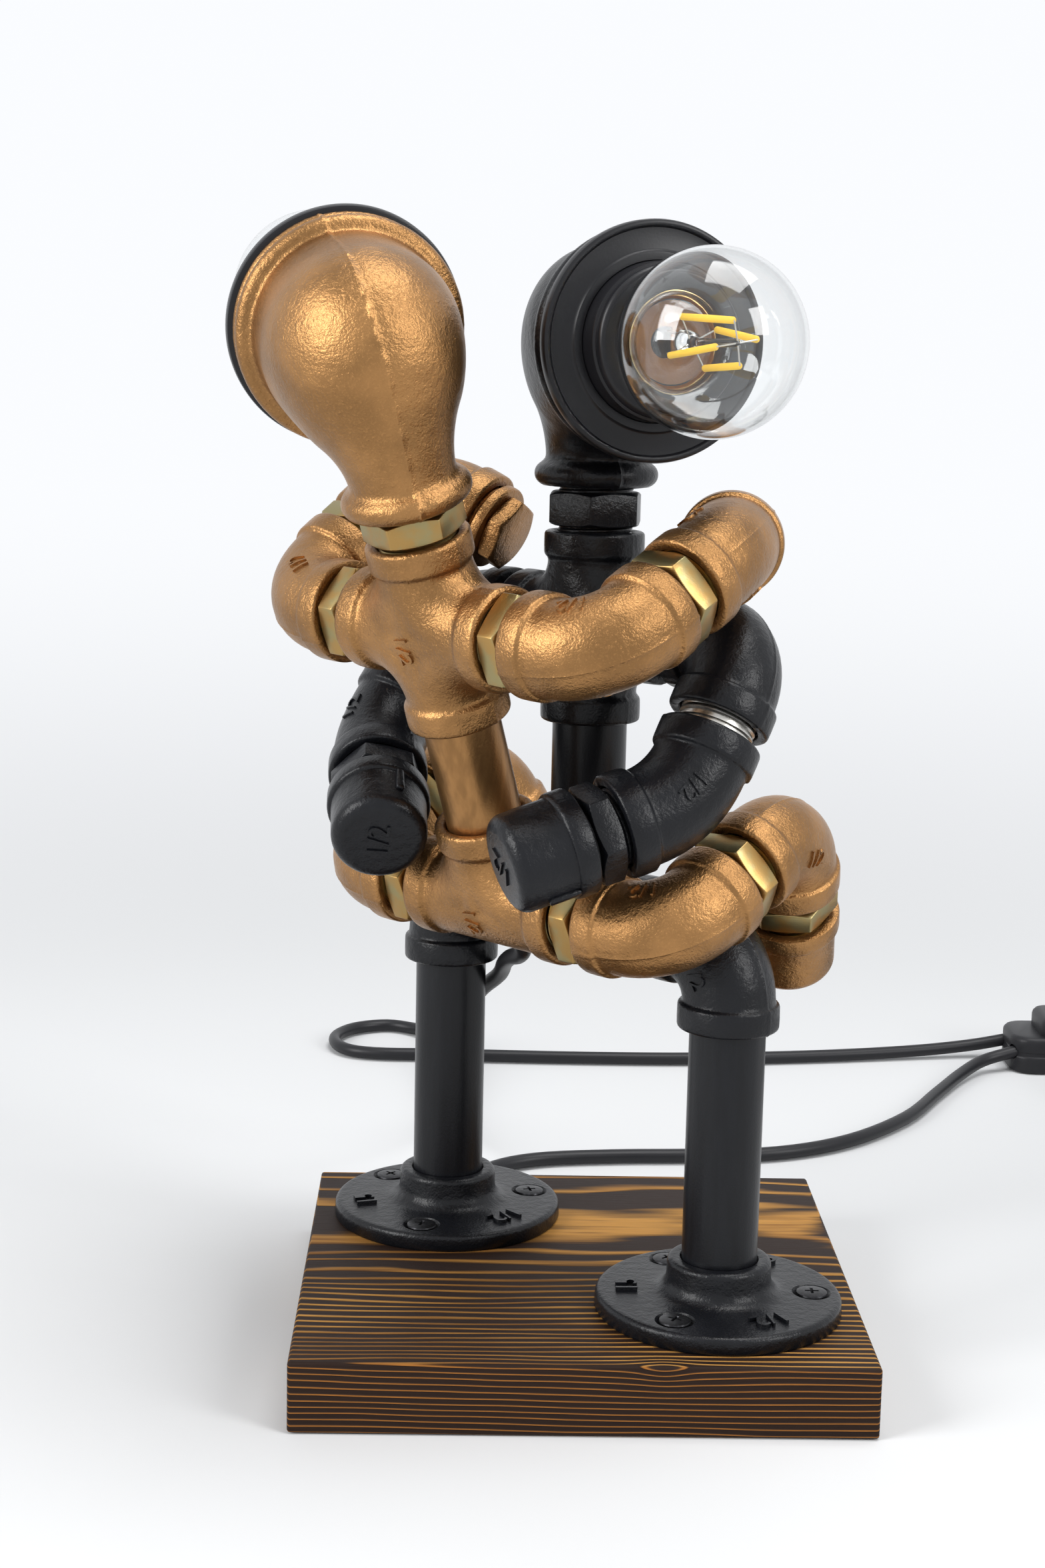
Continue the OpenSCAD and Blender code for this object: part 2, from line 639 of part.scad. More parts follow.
module rider_leg_l_shin() {
  color(bronze) at(LL2) elbow(90, elbow_a, pipe_r, pipe_r);
}

module rider_leg_l_foot() {
  color(bronze) at(go(LL3, hex_gap)) pipe_cap();
}

module rider_arm_r_upper() {
  color(bronze) at(HR0) elbow(90, elbow_a, run_r, pipe_r);
}

module rider_arm_r_hex() {
  color(zinc) at(HR1) hex_nipple(hex_gap, hex_h, hex_af);
}

module rider_arm_r_lower() {
  color(bronze) at(HR2) elbow(45, elbow45_a, run_r, pipe_r);
}

module rider_arm_r_plug() {
  color(bronze) at(HR3) hex_plug();
}

module rider_arm_l_upper() {
  color(bronze) at(HL0) elbow(90, elbow_a, run_r, pipe_r);
}

module rider_arm_l_hex() {
  color(zinc) at(HL1) hex_nipple(hex_gap, hex_h, hex_af);
}

module rider_arm_l_lower() {
  color(bronze) at(HL2) elbow(90, elbow_a, run_r, pipe_r);
}

module rider_arm_l_plug() {
  color(bronze) at(HL3) hex_plug();
}

module rider_flex() {
  color(rubber) flex(rider_flex_route, 3, fr);
}

module stander_flex() {
  color(rubber) flex(stander_flex_route, 4, fr);
}

module switch_body() {
  color(rubber) difference() {
    translate(switch_at) union() {
      translate([0, -15, 0]) cube([66, 30, 15]);
      translate([12, -15, 0]) cube([42, 30, 22]);
    }
    translate(switch_at + [21, -8, 14]) cube([24, 16, 20]);
    translate(switch_at + [33, 0, 20]) rotate([90, 0, 0]) cylinder(r = 1.55, h = 19, center = true);
    for (y = [270, 288]) translate([180, y, 8]) rotate([0, 90, 0]) cylinder(r = fr + 0.4, h = 16);
    translate([254, 279, 8]) rotate([0, 90, 0]) cylinder(r = fr + 0.4, h = 14);
  }
}

module switch_rocker() {
  color([0.08, 0.08, 0.08]) translate(switch_at + [33, 0, 20]) {
    rotate([90, 0, 0]) linear_extrude(15.2, center = true) polygon([[-11.3, 1.6], [-11.3, -2],
      [0, -5.6], [11.3, -2], [11.3, 4.6], [0, 2]]);
    rotate([90, 0, 0]) cylinder(r = 1.5, h = 18, center = true);
  }
}

module mains_flex() {
  color(rubber) {
    flex(mains_in_route, 2, fr);
    flex(mains_out_route, 2, fr);
  }
}

// outer shape of the coiled length: three turns below, three above and the end of the last one on
// its way out, with a place at the bottom for the lead that comes in
module mains_coil() {
  color(rubber) translate(coil_at) difference() {
    union() {
      rotate_extrude() translate([coil_r - 1.5 * flex_d, 0]) square([3 * flex_d, 2 * flex_d]);
      rotate_extrude(angle = 162) translate([coil_r + 0.5 * flex_d, 1.5 * flex_d])
        square([flex_d, 1.5 * flex_d]);
    }
    for (k = [-1:2:1]) rotate_extrude() translate([coil_r + k * 0.5 * flex_d, 0])
      circle(r = 0.8, $fn = 12);
    for (k = [-1:2:1]) rotate_extrude() translate([coil_r + k * 1.5 * flex_d, flex_d])
      circle(r = 0.8, $fn = 12);
    translate([coil_r + 0.5 * flex_d - 0.1, 0, -1]) cube([2 * flex_d, 24, flex_d + 1.1]);
  }
}

// flat two pin plug with a tapered strain relief
module mains_plug() {
  color(rubber) translate([285, 132, 6.85]) {
    translate([0, 0, -6.85]) linear_extrude(13.7) polygon([[-7, 0], [7, 0], [17.65, -14],
      [17.65, -27], [15.5, -31], [-15.5, -31], [-17.65, -27], [-17.65, -14]]);
    translate([0, -1, 0]) rotate([-90, 0, 0]) cylinder(r1 = 5.6, r2 = 3.4, h = 28.8);
    for (x = [-9.1, 9.1]) translate([x, -30, 0]) rotate([90, 0, 0]) cylinder(r = 2, h = 20);
  }
}

base_plate();
floor_flanges();
flange_screws();
leg_pipes();
hip_elbows();
hip_nipples();
hip_tee();
torso_pipe();
chest_cross();
neck_nipple();
shoulder_nipples();
head_casting();
head_ring();
head_lampholder();
head_bulb_glass();
head_bulb_cap();
head_filaments();
arm_r_elbow();
arm_r_nipple();
arm_r_forearm();
arm_r_hex();
arm_r_cap();
arm_l_elbow();
arm_l_nipple();
arm_l_forearm();
arm_l_hex();
arm_l_cap();
rider_hip_tee();
rider_torso_pipe();
rider_chest_cross();
rider_hex_nipples();
rider_head_casting();
rider_head_ring();
rider_head_lampholder();
rider_head_bulb_glass();
rider_head_bulb_cap();
rider_head_filaments();
rider_leg_r_thigh();
rider_leg_r_hexes();
rider_leg_r_shin();
rider_leg_r_foot();
rider_leg_l_thigh();
rider_leg_l_hexes();
rider_leg_l_shin();
rider_leg_l_foot();
rider_arm_r_upper();
rider_arm_r_hex();
rider_arm_r_lower();
rider_arm_r_plug();
rider_arm_l_upper();
rider_arm_l_hex();
rider_arm_l_lower();
rider_arm_l_plug();
rider_flex();
stander_flex();
switch_body();
switch_rocker();
mains_flex();
mains_coil();
mains_plug();
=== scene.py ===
"""Visual model of a desk lamp made of two pipe-fitting figures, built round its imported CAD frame."""
import json
import math

import bmesh
import bpy
from bpy.props import FloatProperty, FloatVectorProperty, PointerProperty
from mathutils import Matrix, Vector
from mathutils.bvhtree import BVHTree

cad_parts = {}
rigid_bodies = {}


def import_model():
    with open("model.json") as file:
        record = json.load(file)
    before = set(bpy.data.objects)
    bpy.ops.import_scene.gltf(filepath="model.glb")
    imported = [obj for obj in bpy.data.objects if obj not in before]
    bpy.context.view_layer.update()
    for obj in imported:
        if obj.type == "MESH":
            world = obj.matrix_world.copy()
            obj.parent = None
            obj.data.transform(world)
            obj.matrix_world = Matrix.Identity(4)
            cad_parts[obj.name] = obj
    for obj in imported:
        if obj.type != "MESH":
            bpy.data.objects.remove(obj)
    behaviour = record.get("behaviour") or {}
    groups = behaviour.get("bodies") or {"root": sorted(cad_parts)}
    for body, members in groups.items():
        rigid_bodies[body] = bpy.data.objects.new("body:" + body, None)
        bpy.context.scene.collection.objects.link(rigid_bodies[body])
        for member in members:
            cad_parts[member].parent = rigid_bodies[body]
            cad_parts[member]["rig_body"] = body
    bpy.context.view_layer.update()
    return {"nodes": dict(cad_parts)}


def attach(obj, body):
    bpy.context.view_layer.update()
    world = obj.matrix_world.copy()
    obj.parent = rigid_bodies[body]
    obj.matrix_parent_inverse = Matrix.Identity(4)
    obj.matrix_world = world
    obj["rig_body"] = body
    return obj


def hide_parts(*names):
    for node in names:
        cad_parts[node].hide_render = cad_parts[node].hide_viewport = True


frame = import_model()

bl_info = {
    "name": "Pipe Figure Lamp",
    "version": (1, 0, 0),
    "blender": (4, 5, 0),
    "location": "View3D > Sidebar > Lamp",
    "description": "Builds the fittings, bulbs, flex and board of a lamp of two pipe figures",
    "category": "Object",
}

MM = 0.001
NODES = frame["nodes"]


# ---------------------------------------------------------------- shader maths

class Value:
    """A material value: arithmetic on it adds Math nodes."""

    def __init__(self, kit, socket):
        self.kit, self.socket = kit, socket

    def __add__(self, other):
        return self.kit.maths("ADD", self, other)

    def __radd__(self, other):
        return self.kit.maths("ADD", other, self)

    def __sub__(self, other):
        return self.kit.maths("SUBTRACT", self, other)

    def __rsub__(self, other):
        return self.kit.maths("SUBTRACT", other, self)

    def __mul__(self, other):
        return self.kit.maths("MULTIPLY", self, other)

    def __truediv__(self, other):
        return self.kit.maths("DIVIDE", self, other)

    def __rtruediv__(self, other):
        return self.kit.maths("DIVIDE", other, self)

    def power(self, other):
        return self.kit.maths("POWER", self, other)

    def low(self, other):
        return self.kit.maths("MINIMUM", self, other)

    def high(self, other):
        return self.kit.maths("MAXIMUM", self, other)

    def exp(self):
        return self.kit.maths("EXPONENT", self)

    def fraction(self):
        return self.kit.maths("FRACT", self)

    def root(self):
        return self.kit.maths("SQRT", self)

    def step(self, start, end):
        """0 before start, 1 after end, smooth in between; start may be the larger."""
        settings = {"interpolation_type": "SMOOTHSTEP"}
        return self.kit.node("ShaderNodeMapRange", settings, {0: self, 1: start, 2: end}).value()


class Made:
    """One node of a material, with its outputs by name or number."""

    def __init__(self, kit, node):
        self.kit, self.node = kit, node

    def value(self, output=0):
        return Value(self.kit, self.node.outputs[output])


class Finish:
    """Builds one procedural material round a Principled shader."""

    def __init__(self, name):
        self.material = bpy.data.materials.new(name)
        self.material.use_nodes = True
        self.tree = self.material.node_tree
        self.tree.nodes.clear()
        self.shader = self.tree.nodes.new("ShaderNodeBsdfPrincipled")
        self.output = self.tree.nodes.new("ShaderNodeOutputMaterial")
        self.tree.links.new(self.shader.outputs[0], self.output.inputs["Surface"])

    def node(self, kind, settings=None, sockets=None):
        made = self.tree.nodes.new(kind)
        for key, setting in (settings or {}).items():
            setattr(made, key, setting)
        for key, value in (sockets or {}).items():
            self.feed(made.inputs[key], value)
        return Made(self, made)

    def maths(self, operation, *values):
        return self.node("ShaderNodeMath", {"operation": operation}, dict(enumerate(values))).value()

    def feed(self, socket, value):
        if isinstance(value, Value):
            self.tree.links.new(value.socket, socket)
        elif socket.type == "RGBA":
            socket.default_value = (*value[:3], 1.0)
        else:
            socket.default_value = value

    def place(self, stretch=(1, 1, 1)):
        """Object coordinates in millimetres, scaled along each axis."""
        at = self.node("ShaderNodeTexCoord").value("Object")
        sockets = {"Vector": at, "Scale": tuple(s / MM for s in stretch)}
        return self.node("ShaderNodeMapping", {}, sockets).value()

    def parts(self, vector):
        split = self.node("ShaderNodeSeparateXYZ", {}, {0: vector})
        return split.value(0), split.value(1), split.value(2)

    def noise(self, vector, scale, detail, rough=0.5):
        sockets = {"Vector": vector, "Scale": scale, "Detail": detail, "Roughness": rough}
        return self.node("ShaderNodeTexNoise", {}, sockets).value()

    def mix(self, factor, first, second):
        settings = {"data_type": "RGBA", "blend_type": "MIX", "clamp_factor": True}
        made = self.node("ShaderNodeMix", settings, {0: factor, 6: first, 7: second})
        return made.value(2)

    def bump(self, height, distance, under=None):
        """height times distance in millimetres; under is a bump below this one."""
        sockets = {"Height": height, "Distance": distance * MM, "Strength": 1.0}
        if under is not None:
            sockets["Normal"] = under
        return self.node("ShaderNodeBump", {}, sockets).value()

    def finish(self, **sockets):
        for key, value in sockets.items():
            self.feed(self.shader.inputs[key.replace("_", " ")], value)
        return self.material


# ---------------------------------------------------------------- finishes

def shade(colour, *factors):
    """colour times one factor, or times one for each channel, and never above 1."""
    return tuple(min(1.0, c * f) for c, f in zip(colour, factors * 3))


def grain_coat(kit, colour, fine, coarse, flake=0.0):
    """Colour of a coat over cast iron: clouds, pits and a little flake."""
    spot = kit.place()
    cloud = kit.noise(spot, 0.06, 3.0)
    base = kit.mix(cloud.step(0.35, 0.65), shade(colour, 0.8), shade(colour, 1.15))
    grit = kit.noise(spot, 1.5, 2.0, 0.65)
    if flake:
        base = kit.mix(grit.step(0.5, 0.75) * flake, base, shade(colour, 1.5))
    wide = kit.noise(spot, 0.4, 2.0)
    rough = kit.bump(grit, fine)
    return base, kit.bump(wide, coarse, under=rough), grit, cloud


def bronze_paint(colour):
    """Copper bronze lacquer over a sandy casting."""
    kit = Finish("bronze_paint")
    base, normal, grit, cloud = grain_coat(kit, colour, 0.22, 0.26, 0.4)
    return kit.finish(Base_Color=base, Metallic=0.9, Roughness=0.27 + grit * 0.1 + cloud * 0.04,
                      Normal=normal)


def black_paint(colour):
    """Satin black lacquer over cast iron."""
    kit = Finish("black_paint")
    base, normal, grit, cloud = grain_coat(kit, colour, 0.12, 0.22)
    return kit.finish(Base_Color=base, Metallic=0.0, Roughness=0.24 + cloud * 0.08 + grit * 0.05,
                      Specular_IOR_Level=0.26, Normal=normal)


def black_pipe(colour):
    """The same lacquer over drawn pipe, smoother than on the castings."""
    kit = Finish("black_pipe")
    spot = kit.place()
    drawn = kit.noise(kit.place((1, 1, 0.12)), 0.5, 2.0)
    grit = kit.noise(spot, 1.6, 2.0)
    base = kit.mix(drawn.step(0.3, 0.7), shade(colour, 0.85), shade(colour, 1.15))
    return kit.finish(Base_Color=base, Roughness=0.27 + drawn * 0.1, Specular_IOR_Level=0.26,
                      Normal=kit.bump(grit, 0.03, under=kit.bump(drawn, 0.06)))


def bronze_pipe(colour):
    """Bronze lacquer over drawn pipe."""
    kit = Finish("bronze_pipe")
    drawn = kit.noise(kit.place((1, 1, 0.12)), 0.45, 2.0)
    grit = kit.noise(kit.place(), 1.5, 2.0)
    base = kit.mix(drawn.step(0.3, 0.7), shade(colour, 0.8), shade(colour, 1.1))
    return kit.finish(Base_Color=base, Metallic=0.88, Roughness=0.31 + grit * 0.08,
                      Normal=kit.bump(grit, 0.05, under=kit.bump(drawn, 0.07)))


def yellow_zinc(colour):
    """Yellow passivated zinc with a faint drift of hue and fine turning marks."""
    kit = Finish("yellow_zinc")
    spot = kit.place()
    drift = kit.noise(spot, 0.14, 3.0)
    green, warm = shade(colour, 0.86, 0.95, 0.95), shade(colour, 1.05, 0.86, 0.62)
    marks = kit.noise(spot, 2.4, 2.0)
    base = kit.mix(drift.step(0.38, 0.62), green, warm)
    return kit.finish(Base_Color=base, Metallic=1.0, Roughness=0.27 + marks * 0.14,
                      Normal=kit.bump(marks, 0.02))


def bare_steel(colour):
    """Bright bare thread."""
    kit = Finish("bare_steel")
    marks = kit.noise(kit.place(), 1.8, 2.0)
    return kit.finish(Base_Color=kit.mix(marks, shade(colour, 0.75), colour), Metallic=1.0,
                      Roughness=0.24 + marks * 0.12, Normal=kit.bump(marks, 0.02))


def black_zinc(colour):
    """Black zinc of the wood screws, a little worn."""
    kit = Finish("black_zinc")
    marks = kit.noise(kit.place(), 0.9, 3.0)
    base = kit.mix(marks.step(0.45, 0.75), colour, shade(colour, 2.2))
    return kit.finish(Base_Color=base, Metallic=0.85, Roughness=0.42 - marks * 0.12,
                      Normal=kit.bump(marks, 0.03))


def moulded(name, colour, rough, grit_height=0.02):
    """Moulded plastic or rubber with a faint skin."""
    kit = Finish(name)
    spot = kit.place()
    skin = kit.noise(spot, 1.4, 2.0)
    haze = kit.noise(spot, 0.07, 2.0)
    base = kit.mix(haze, shade(colour, 0.8), shade(colour, 1.2))
    return kit.finish(Base_Color=base, Roughness=rough + (haze - 0.5) * 0.1, Specular_IOR_Level=0.3,
                      Normal=kit.bump(skin, grit_height))


def clear_glass():
    """Clear blown glass."""
    kit = Finish("clear_glass")
    return kit.finish(Base_Color=(0.97, 0.98, 0.98), Roughness=0.0, IOR=1.47, Transmission_Weight=1.0)


def brass_sheet(colour):
    """Thin pressed brass of the screw cap."""
    kit = Finish("brass_sheet")
    marks = kit.noise(kit.place(), 0.8, 3.0)
    return kit.finish(Base_Color=kit.mix(marks, shade(colour, 0.8), colour), Metallic=1.0,
                      Roughness=0.22 + marks * 0.2, Normal=kit.bump(marks, 0.02))


def phosphor(colour):
    """Yellow phosphor over the light sticks, with a faint painted glow in its own colour."""
    kit = Finish("phosphor")
    grain = kit.noise(kit.place(), 2.5, 2.0)
    base = kit.mix(grain, shade(colour, 0.86), colour)
    # the weak emission is a painted glow: it keeps the sticks bright yellow whatever light falls on them
    return kit.finish(Base_Color=base, Roughness=0.5, Emission_Color=base, Emission_Strength=0.25,
                      Normal=kit.bump(grain, 0.03))


def burnt_pine(dark, mid, golden):
    """Pine, burnt and brushed: rings round a heart under the board, cut as lines along X."""
    kit = Finish("burnt_pine")
    x, y, z = kit.parts(kit.place())
    drift = kit.noise(kit.place((0.25, 1, 1)), 0.03, 2.0) - 0.5
    ripple = kit.noise(kit.place((0.12, 1, 1)), 0.16, 2.0) - 0.5
    # a knot near the front edge pushes the rings aside
    kx, ky, kz = x - 21.0, y + 76.0, z - 20.0
    knot = (kx * kx * 0.5 + ky * ky + kz * kz).root()
    push = (knot * knot * -0.05).exp() * 1.3
    heart_y, heart_z = y - 35.0, z + 152.0
    rings = (heart_y * heart_y + heart_z * heart_z).root() + drift * 5.0 + ripple * 0.9 + push
    line = (rings / 1.5).fraction()
    late = line.step(0.0, 0.14) * line.step(0.48, 0.2)
    fibre = kit.noise(kit.place((0.035, 1, 1)), 2.4, 3.0, 0.6)
    streak = kit.noise(kit.place((0.05, 1, 1)), 0.5, 2.0)
    band = kit.noise(kit.place((0.3, 0.8, 0.8)), 0.035, 2.0)
    burn = (band * 0.6 + streak * 0.4).step(0.38, 0.6)
    dark_part = kit.mix(fibre, shade(dark, 0.5), dark)
    light_part = kit.mix((burn + (knot * knot * -0.1).exp()).low(1.0), mid, golden)
    # the sawn front is deeper in colour, its late wood in thin lines
    front = y.step(-75.6, -76.3)
    thin = late.power(front * 2.0 + 1.0) * (0.45 + fibre * 0.6).low(1.0)
    base = kit.mix(thin, kit.mix(front, dark_part, shade(dark, 0.8)),
                   kit.mix(front, light_part, shade(mid, 1.35, 1.2, 1.0)))
    height = late * 0.7 + fibre * 0.3
    return kit.finish(Base_Color=base, Roughness=0.52 + fibre * 0.22, Specular_IOR_Level=0.2,
                      Normal=kit.bump(height, 0.4))


# ---------------------------------------------------------------- port frames, in millimetres

def turn(angle):
    return Matrix.Rotation(math.radians(angle), 4, "Z")


def tip(angle):
    return Matrix.Rotation(math.radians(angle), 4, "Y")


# turns z to -y
LYING = Matrix.Rotation(math.pi / 2, 4, "X")


def shift(x=0.0, y=0.0, z=0.0):
    return Matrix.Translation((x, y, z))


def heading(angle):
    return Vector((math.cos(math.radians(angle)), math.sin(math.radians(angle)), 0.0))


def port(place, out, side):
    """Frame at place with z along out and x as near to side as it can be."""
    k = Vector(out).normalized()
    i = (Vector(side) - k * k.dot(Vector(side))).normalized()
    j = k.cross(i)
    return Matrix(((i.x, j.x, k.x, place[0]), (i.y, j.y, k.y, place[1]), (i.z, j.z, k.z, place[2]),
                   (0, 0, 0, 1)))


def bent(at, roll, angle, reach):
    return at @ turn(roll) @ shift(z=reach) @ tip(angle) @ shift(z=reach)


# ---------------------------------------------------------------- mesh helpers

def arc(cx, cy, r, a0, a1, n):
    return [(cx + r * math.cos(math.radians(a0 + (a1 - a0) * i / n)),
             cy + r * math.sin(math.radians(a0 + (a1 - a0) * i / n))) for i in range(n + 1)]


def cleaned(bm):
    """Joins vertices that meet and turns the faces outwards."""
    bmesh.ops.remove_doubles(bm, verts=bm.verts, dist=0.0005)
    bmesh.ops.recalc_face_normals(bm, faces=bm.faces)


def poured(name, bm):
    """A new mesh that holds bm, which is used up."""
    mesh = bpy.data.meshes.new(name)
    bm.to_mesh(mesh)
    bm.free()
    return mesh


def moved(bm, at):
    bmesh.ops.transform(bm, matrix=at, verts=bm.verts)
    return bm


def gather(bm, shape):
    """Adds shape to bm, and uses it up."""
    mesh = poured("gathered", shape)
    bm.from_mesh(mesh)
    bpy.data.meshes.remove(mesh)


def placed(name, data):
    """A new object for data, in the scene."""
    made = bpy.data.objects.new(name, data)
    bpy.context.scene.collection.objects.link(made)
    return made


def rounded(bm, edges, radius, segments):
    """Rounds edges, and returns the new faces."""
    return bmesh.ops.bevel(bm, geom=list(edges), offset=radius, offset_type="OFFSET", affect="EDGES",
                           segments=segments, profile=0.5, material=-1, clamp_overlap=True)["faces"]


def raised(bm, made, by):
    """Moves the vertices that an extrusion made."""
    bmesh.ops.translate(bm, vec=by, verts=[g for g in made["geom"] if isinstance(g, bmesh.types.BMVert)])


def block(bm, size, at):
    """A plain block, its centre at the frame at."""
    return bmesh.ops.create_cube(bm, size=1.0, matrix=at @ Matrix.Diagonal((*size, 1.0)))["verts"]


def lathe(bm, profile, at=Matrix(), segments=72, closed=False):
    """Spins a profile of (radius, height) pairs about z, and moves the result by at."""
    verts = [bm.verts.new((r, 0.0, z)) for r, z in profile]
    pairs = list(zip(verts, verts[1:])) + ([(verts[-1], verts[0])] if closed else [])
    edges = [bm.edges.new(pair) for pair in pairs]
    bmesh.ops.spin(bm, geom=verts + edges, cent=(0, 0, 0), axis=(0, 0, 1), dvec=(0, 0, 0),
                   angle=2 * math.pi, steps=segments, use_merge=True, use_duplicate=False)
    linked = set(verts)
    stack = list(verts)
    while stack:
        for edge in stack.pop().link_edges:
            for v in edge.verts:
                if v not in linked:
                    linked.add(v)
                    stack.append(v)
    bmesh.ops.transform(bm, matrix=at, verts=list(linked))


def sweep(bm, stations, segments=64, capped=False):
    """Pulls a ring through stations, each a frame that holds its own scale."""
    ring = bmesh.ops.create_circle(bm, cap_ends=capped, segments=segments, radius=1.0,
                                   matrix=stations[0])["verts"]
    edges = [e for e in bm.edges if e.verts[0] in set(ring) and e.verts[1] in set(ring)]
    for before, after in zip(stations, stations[1:]):
        made = bmesh.ops.extrude_edge_only(bm, edges=edges)["geom"]
        ring = [g for g in made if isinstance(g, bmesh.types.BMVert)]
        bmesh.ops.transform(bm, matrix=after @ before.inverted(), verts=ring)
        kept = set(ring)
        edges = [g for g in made if isinstance(g, bmesh.types.BMEdge)
                 and g.verts[0] in kept and g.verts[1] in kept]
    if capped:
        bmesh.ops.edgeloop_fill(bm, edges=edges)


def piece(name, bm, kind, body, at=Matrix(), replaces=(), crease=38):
    """Makes a mesh in millimetres into a named piece in metres, with a finish, riding on a CAD body."""
    cleaned(bm)
    mesh = poured(name, bm)
    mesh.transform(Matrix.Scale(MM, 4) @ at)
    mesh.shade_smooth()
    mesh.set_sharp_from_angle(angle=math.radians(crease))
    made = placed(name, mesh)
    mesh.materials.append(coat(kind))
    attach(made, body)
    if replaces:
        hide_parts(*replaces)
    return made


def remeshed(bm, voxel, smoothing):
    """The union of the closed shells in bm, as one skin with rounded corners."""
    cleaned(bm)
    mesh = poured("shells", bm)
    shells = placed("shells", mesh)
    modifier = shells.modifiers.new("skin", "REMESH")
    modifier.mode, modifier.voxel_size = "VOXEL", voxel
    graph = bpy.context.evaluated_depsgraph_get()
    skin = bmesh.new()
    skin.from_object(shells, graph)
    bpy.data.objects.remove(shells)
    bpy.data.meshes.remove(mesh)
    for _ in range(smoothing):
        bmesh.ops.smooth_vert(skin, verts=skin.verts, factor=0.5, use_axis_x=True, use_axis_y=True,
                              use_axis_z=True)
    return skin


# ---------------------------------------------------------------- where the fittings sit

UP = Vector((0.0, 0.0, 1.0))
REACH, REACH_45, TEE = 23.5, 20.0, 26.5
SOCKET, THREAD = 12.0, 11.5
PIPE_R, BORE_R, BODY_R, BEAD_R, BEAD_H = 10.65, 8.0, 13.0, 14.2, 7.5
HEX_GAP, HEX_H, HEX_ACROSS = 10.0, 7.2, 24.0
SHOULDER_GAP = 8.4
# centre to face of the black cross, and centre of a tee to the end of the pipe in it
CROSS, PIPE_SEAT = TEE + 0.5, 14.5
FLANGE_H, PLATE_T, SCREW_CIRCLE = 15.3, 20.0, 26.5
# bare thread between fittings at the black shoulders and forearms
ARM_GAP_R, ARM_GAP_L, FOREARM_GAP_R, FOREARM_GAP_L = 6.5, 3.5, 4.5, 5.2
# how deep the foot of a cast number sits in the skin
MARK_SINK = 0.5
FIGURE = Vector((0.5, 2.5, 0.0))
HIP_AXIS, ARM_AXIS = heading(-44), heading(-44.5)
STANCE = 107.5
HIP, CHEST = FIGURE + UP * 125.8, FIGURE + UP * 209.1
FEET = [FIGURE + HIP_AXIS * (STANCE / 2), FIGURE - HIP_AXIS * (STANCE / 2)]
NECK_GAP, RIDER_NECK_GAP = 12.5, 8.6
RIDER_UP = Vector((-0.229, -0.265, 0.937)).normalized()
RIDER_HIP = Vector((-23.5, -21.1, 134.8))
RIDER_CHEST = RIDER_HIP + RIDER_UP * 83.3


def across(vector):
    return (vector - RIDER_UP * RIDER_UP.dot(vector)).normalized()


RIDER_HIP_AXIS, RIDER_ARM_AXIS = across(heading(-44.15)), across(heading(-46.3))


def limb(centre, axis, side, up, reach, gap, first, joint_gap, second, angle, last_reach):
    """The four ports of a limb: into the first elbow, out of it, into the second, out of it."""
    start = port(centre + axis * side * (reach + gap), axis * side, up) @ turn(first)
    outlet = bent(start, 0, 90, REACH)
    inlet = outlet @ shift(z=joint_gap) @ turn(second)
    return start, outlet, inlet, bent(inlet, 0, angle, last_reach)


ARM_R = limb(CHEST, ARM_AXIS, 1, UP, CROSS, ARM_GAP_R, 146.5, FOREARM_GAP_R, -51.0, 45, REACH_45)
ARM_L = limb(CHEST, ARM_AXIS, -1, UP, CROSS, ARM_GAP_L, -138.3, FOREARM_GAP_L, 16.4, 45, REACH_45)
RIDER_LEG_R = limb(RIDER_HIP, RIDER_HIP_AXIS, 1, RIDER_UP, TEE, HEX_GAP, -84.0, HEX_GAP, -73.9, 90, REACH)
RIDER_LEG_L = limb(RIDER_HIP, RIDER_HIP_AXIS, -1, RIDER_UP, TEE, HEX_GAP, 84.0, HEX_GAP, 75.9, 90, REACH)
RIDER_ARM_R = limb(RIDER_CHEST, RIDER_ARM_AXIS, 1, RIDER_UP, TEE, SHOULDER_GAP, -83.0, HEX_GAP, -31.0, 45,
                   REACH_45)
RIDER_ARM_L = limb(RIDER_CHEST, RIDER_ARM_AXIS, -1, RIDER_UP, TEE, SHOULDER_GAP, 76.4, HEX_GAP, 28.1, 90,
                   REACH)
HEAD = port(CHEST + UP * (CROSS + NECK_GAP), UP, (1, 0, 0)) @ turn(-71.3)
RIDER_HEAD = port(RIDER_CHEST + RIDER_UP * (TEE + RIDER_NECK_GAP), RIDER_UP, RIDER_ARM_AXIS) @ turn(148.3)


# ---------------------------------------------------------------- shapes, in millimetres

def bead_profile():
    """(distance from the face, radius) down the outside of a rolled bead to the body."""
    return [(2.6, PIPE_R + 0.15), (0.9, PIPE_R + 0.35), (0.15, 11.5), (0.0, 12.0),
            (0.0, BEAD_R - 0.9), (0.12, BEAD_R - 0.45), (0.4, BEAD_R - 0.15), (0.9, BEAD_R),
            (3.0, BEAD_R + 0.05), (BEAD_H - 1.2, BEAD_R), (BEAD_H - 0.7, BEAD_R - 0.12),
            (BEAD_H - 0.35, BEAD_R - 0.4), (BEAD_H - 0.2, BEAD_R - 0.8), (BEAD_H + 0.1, BODY_R + 0.12),
            (BEAD_H + 0.7, BODY_R)]


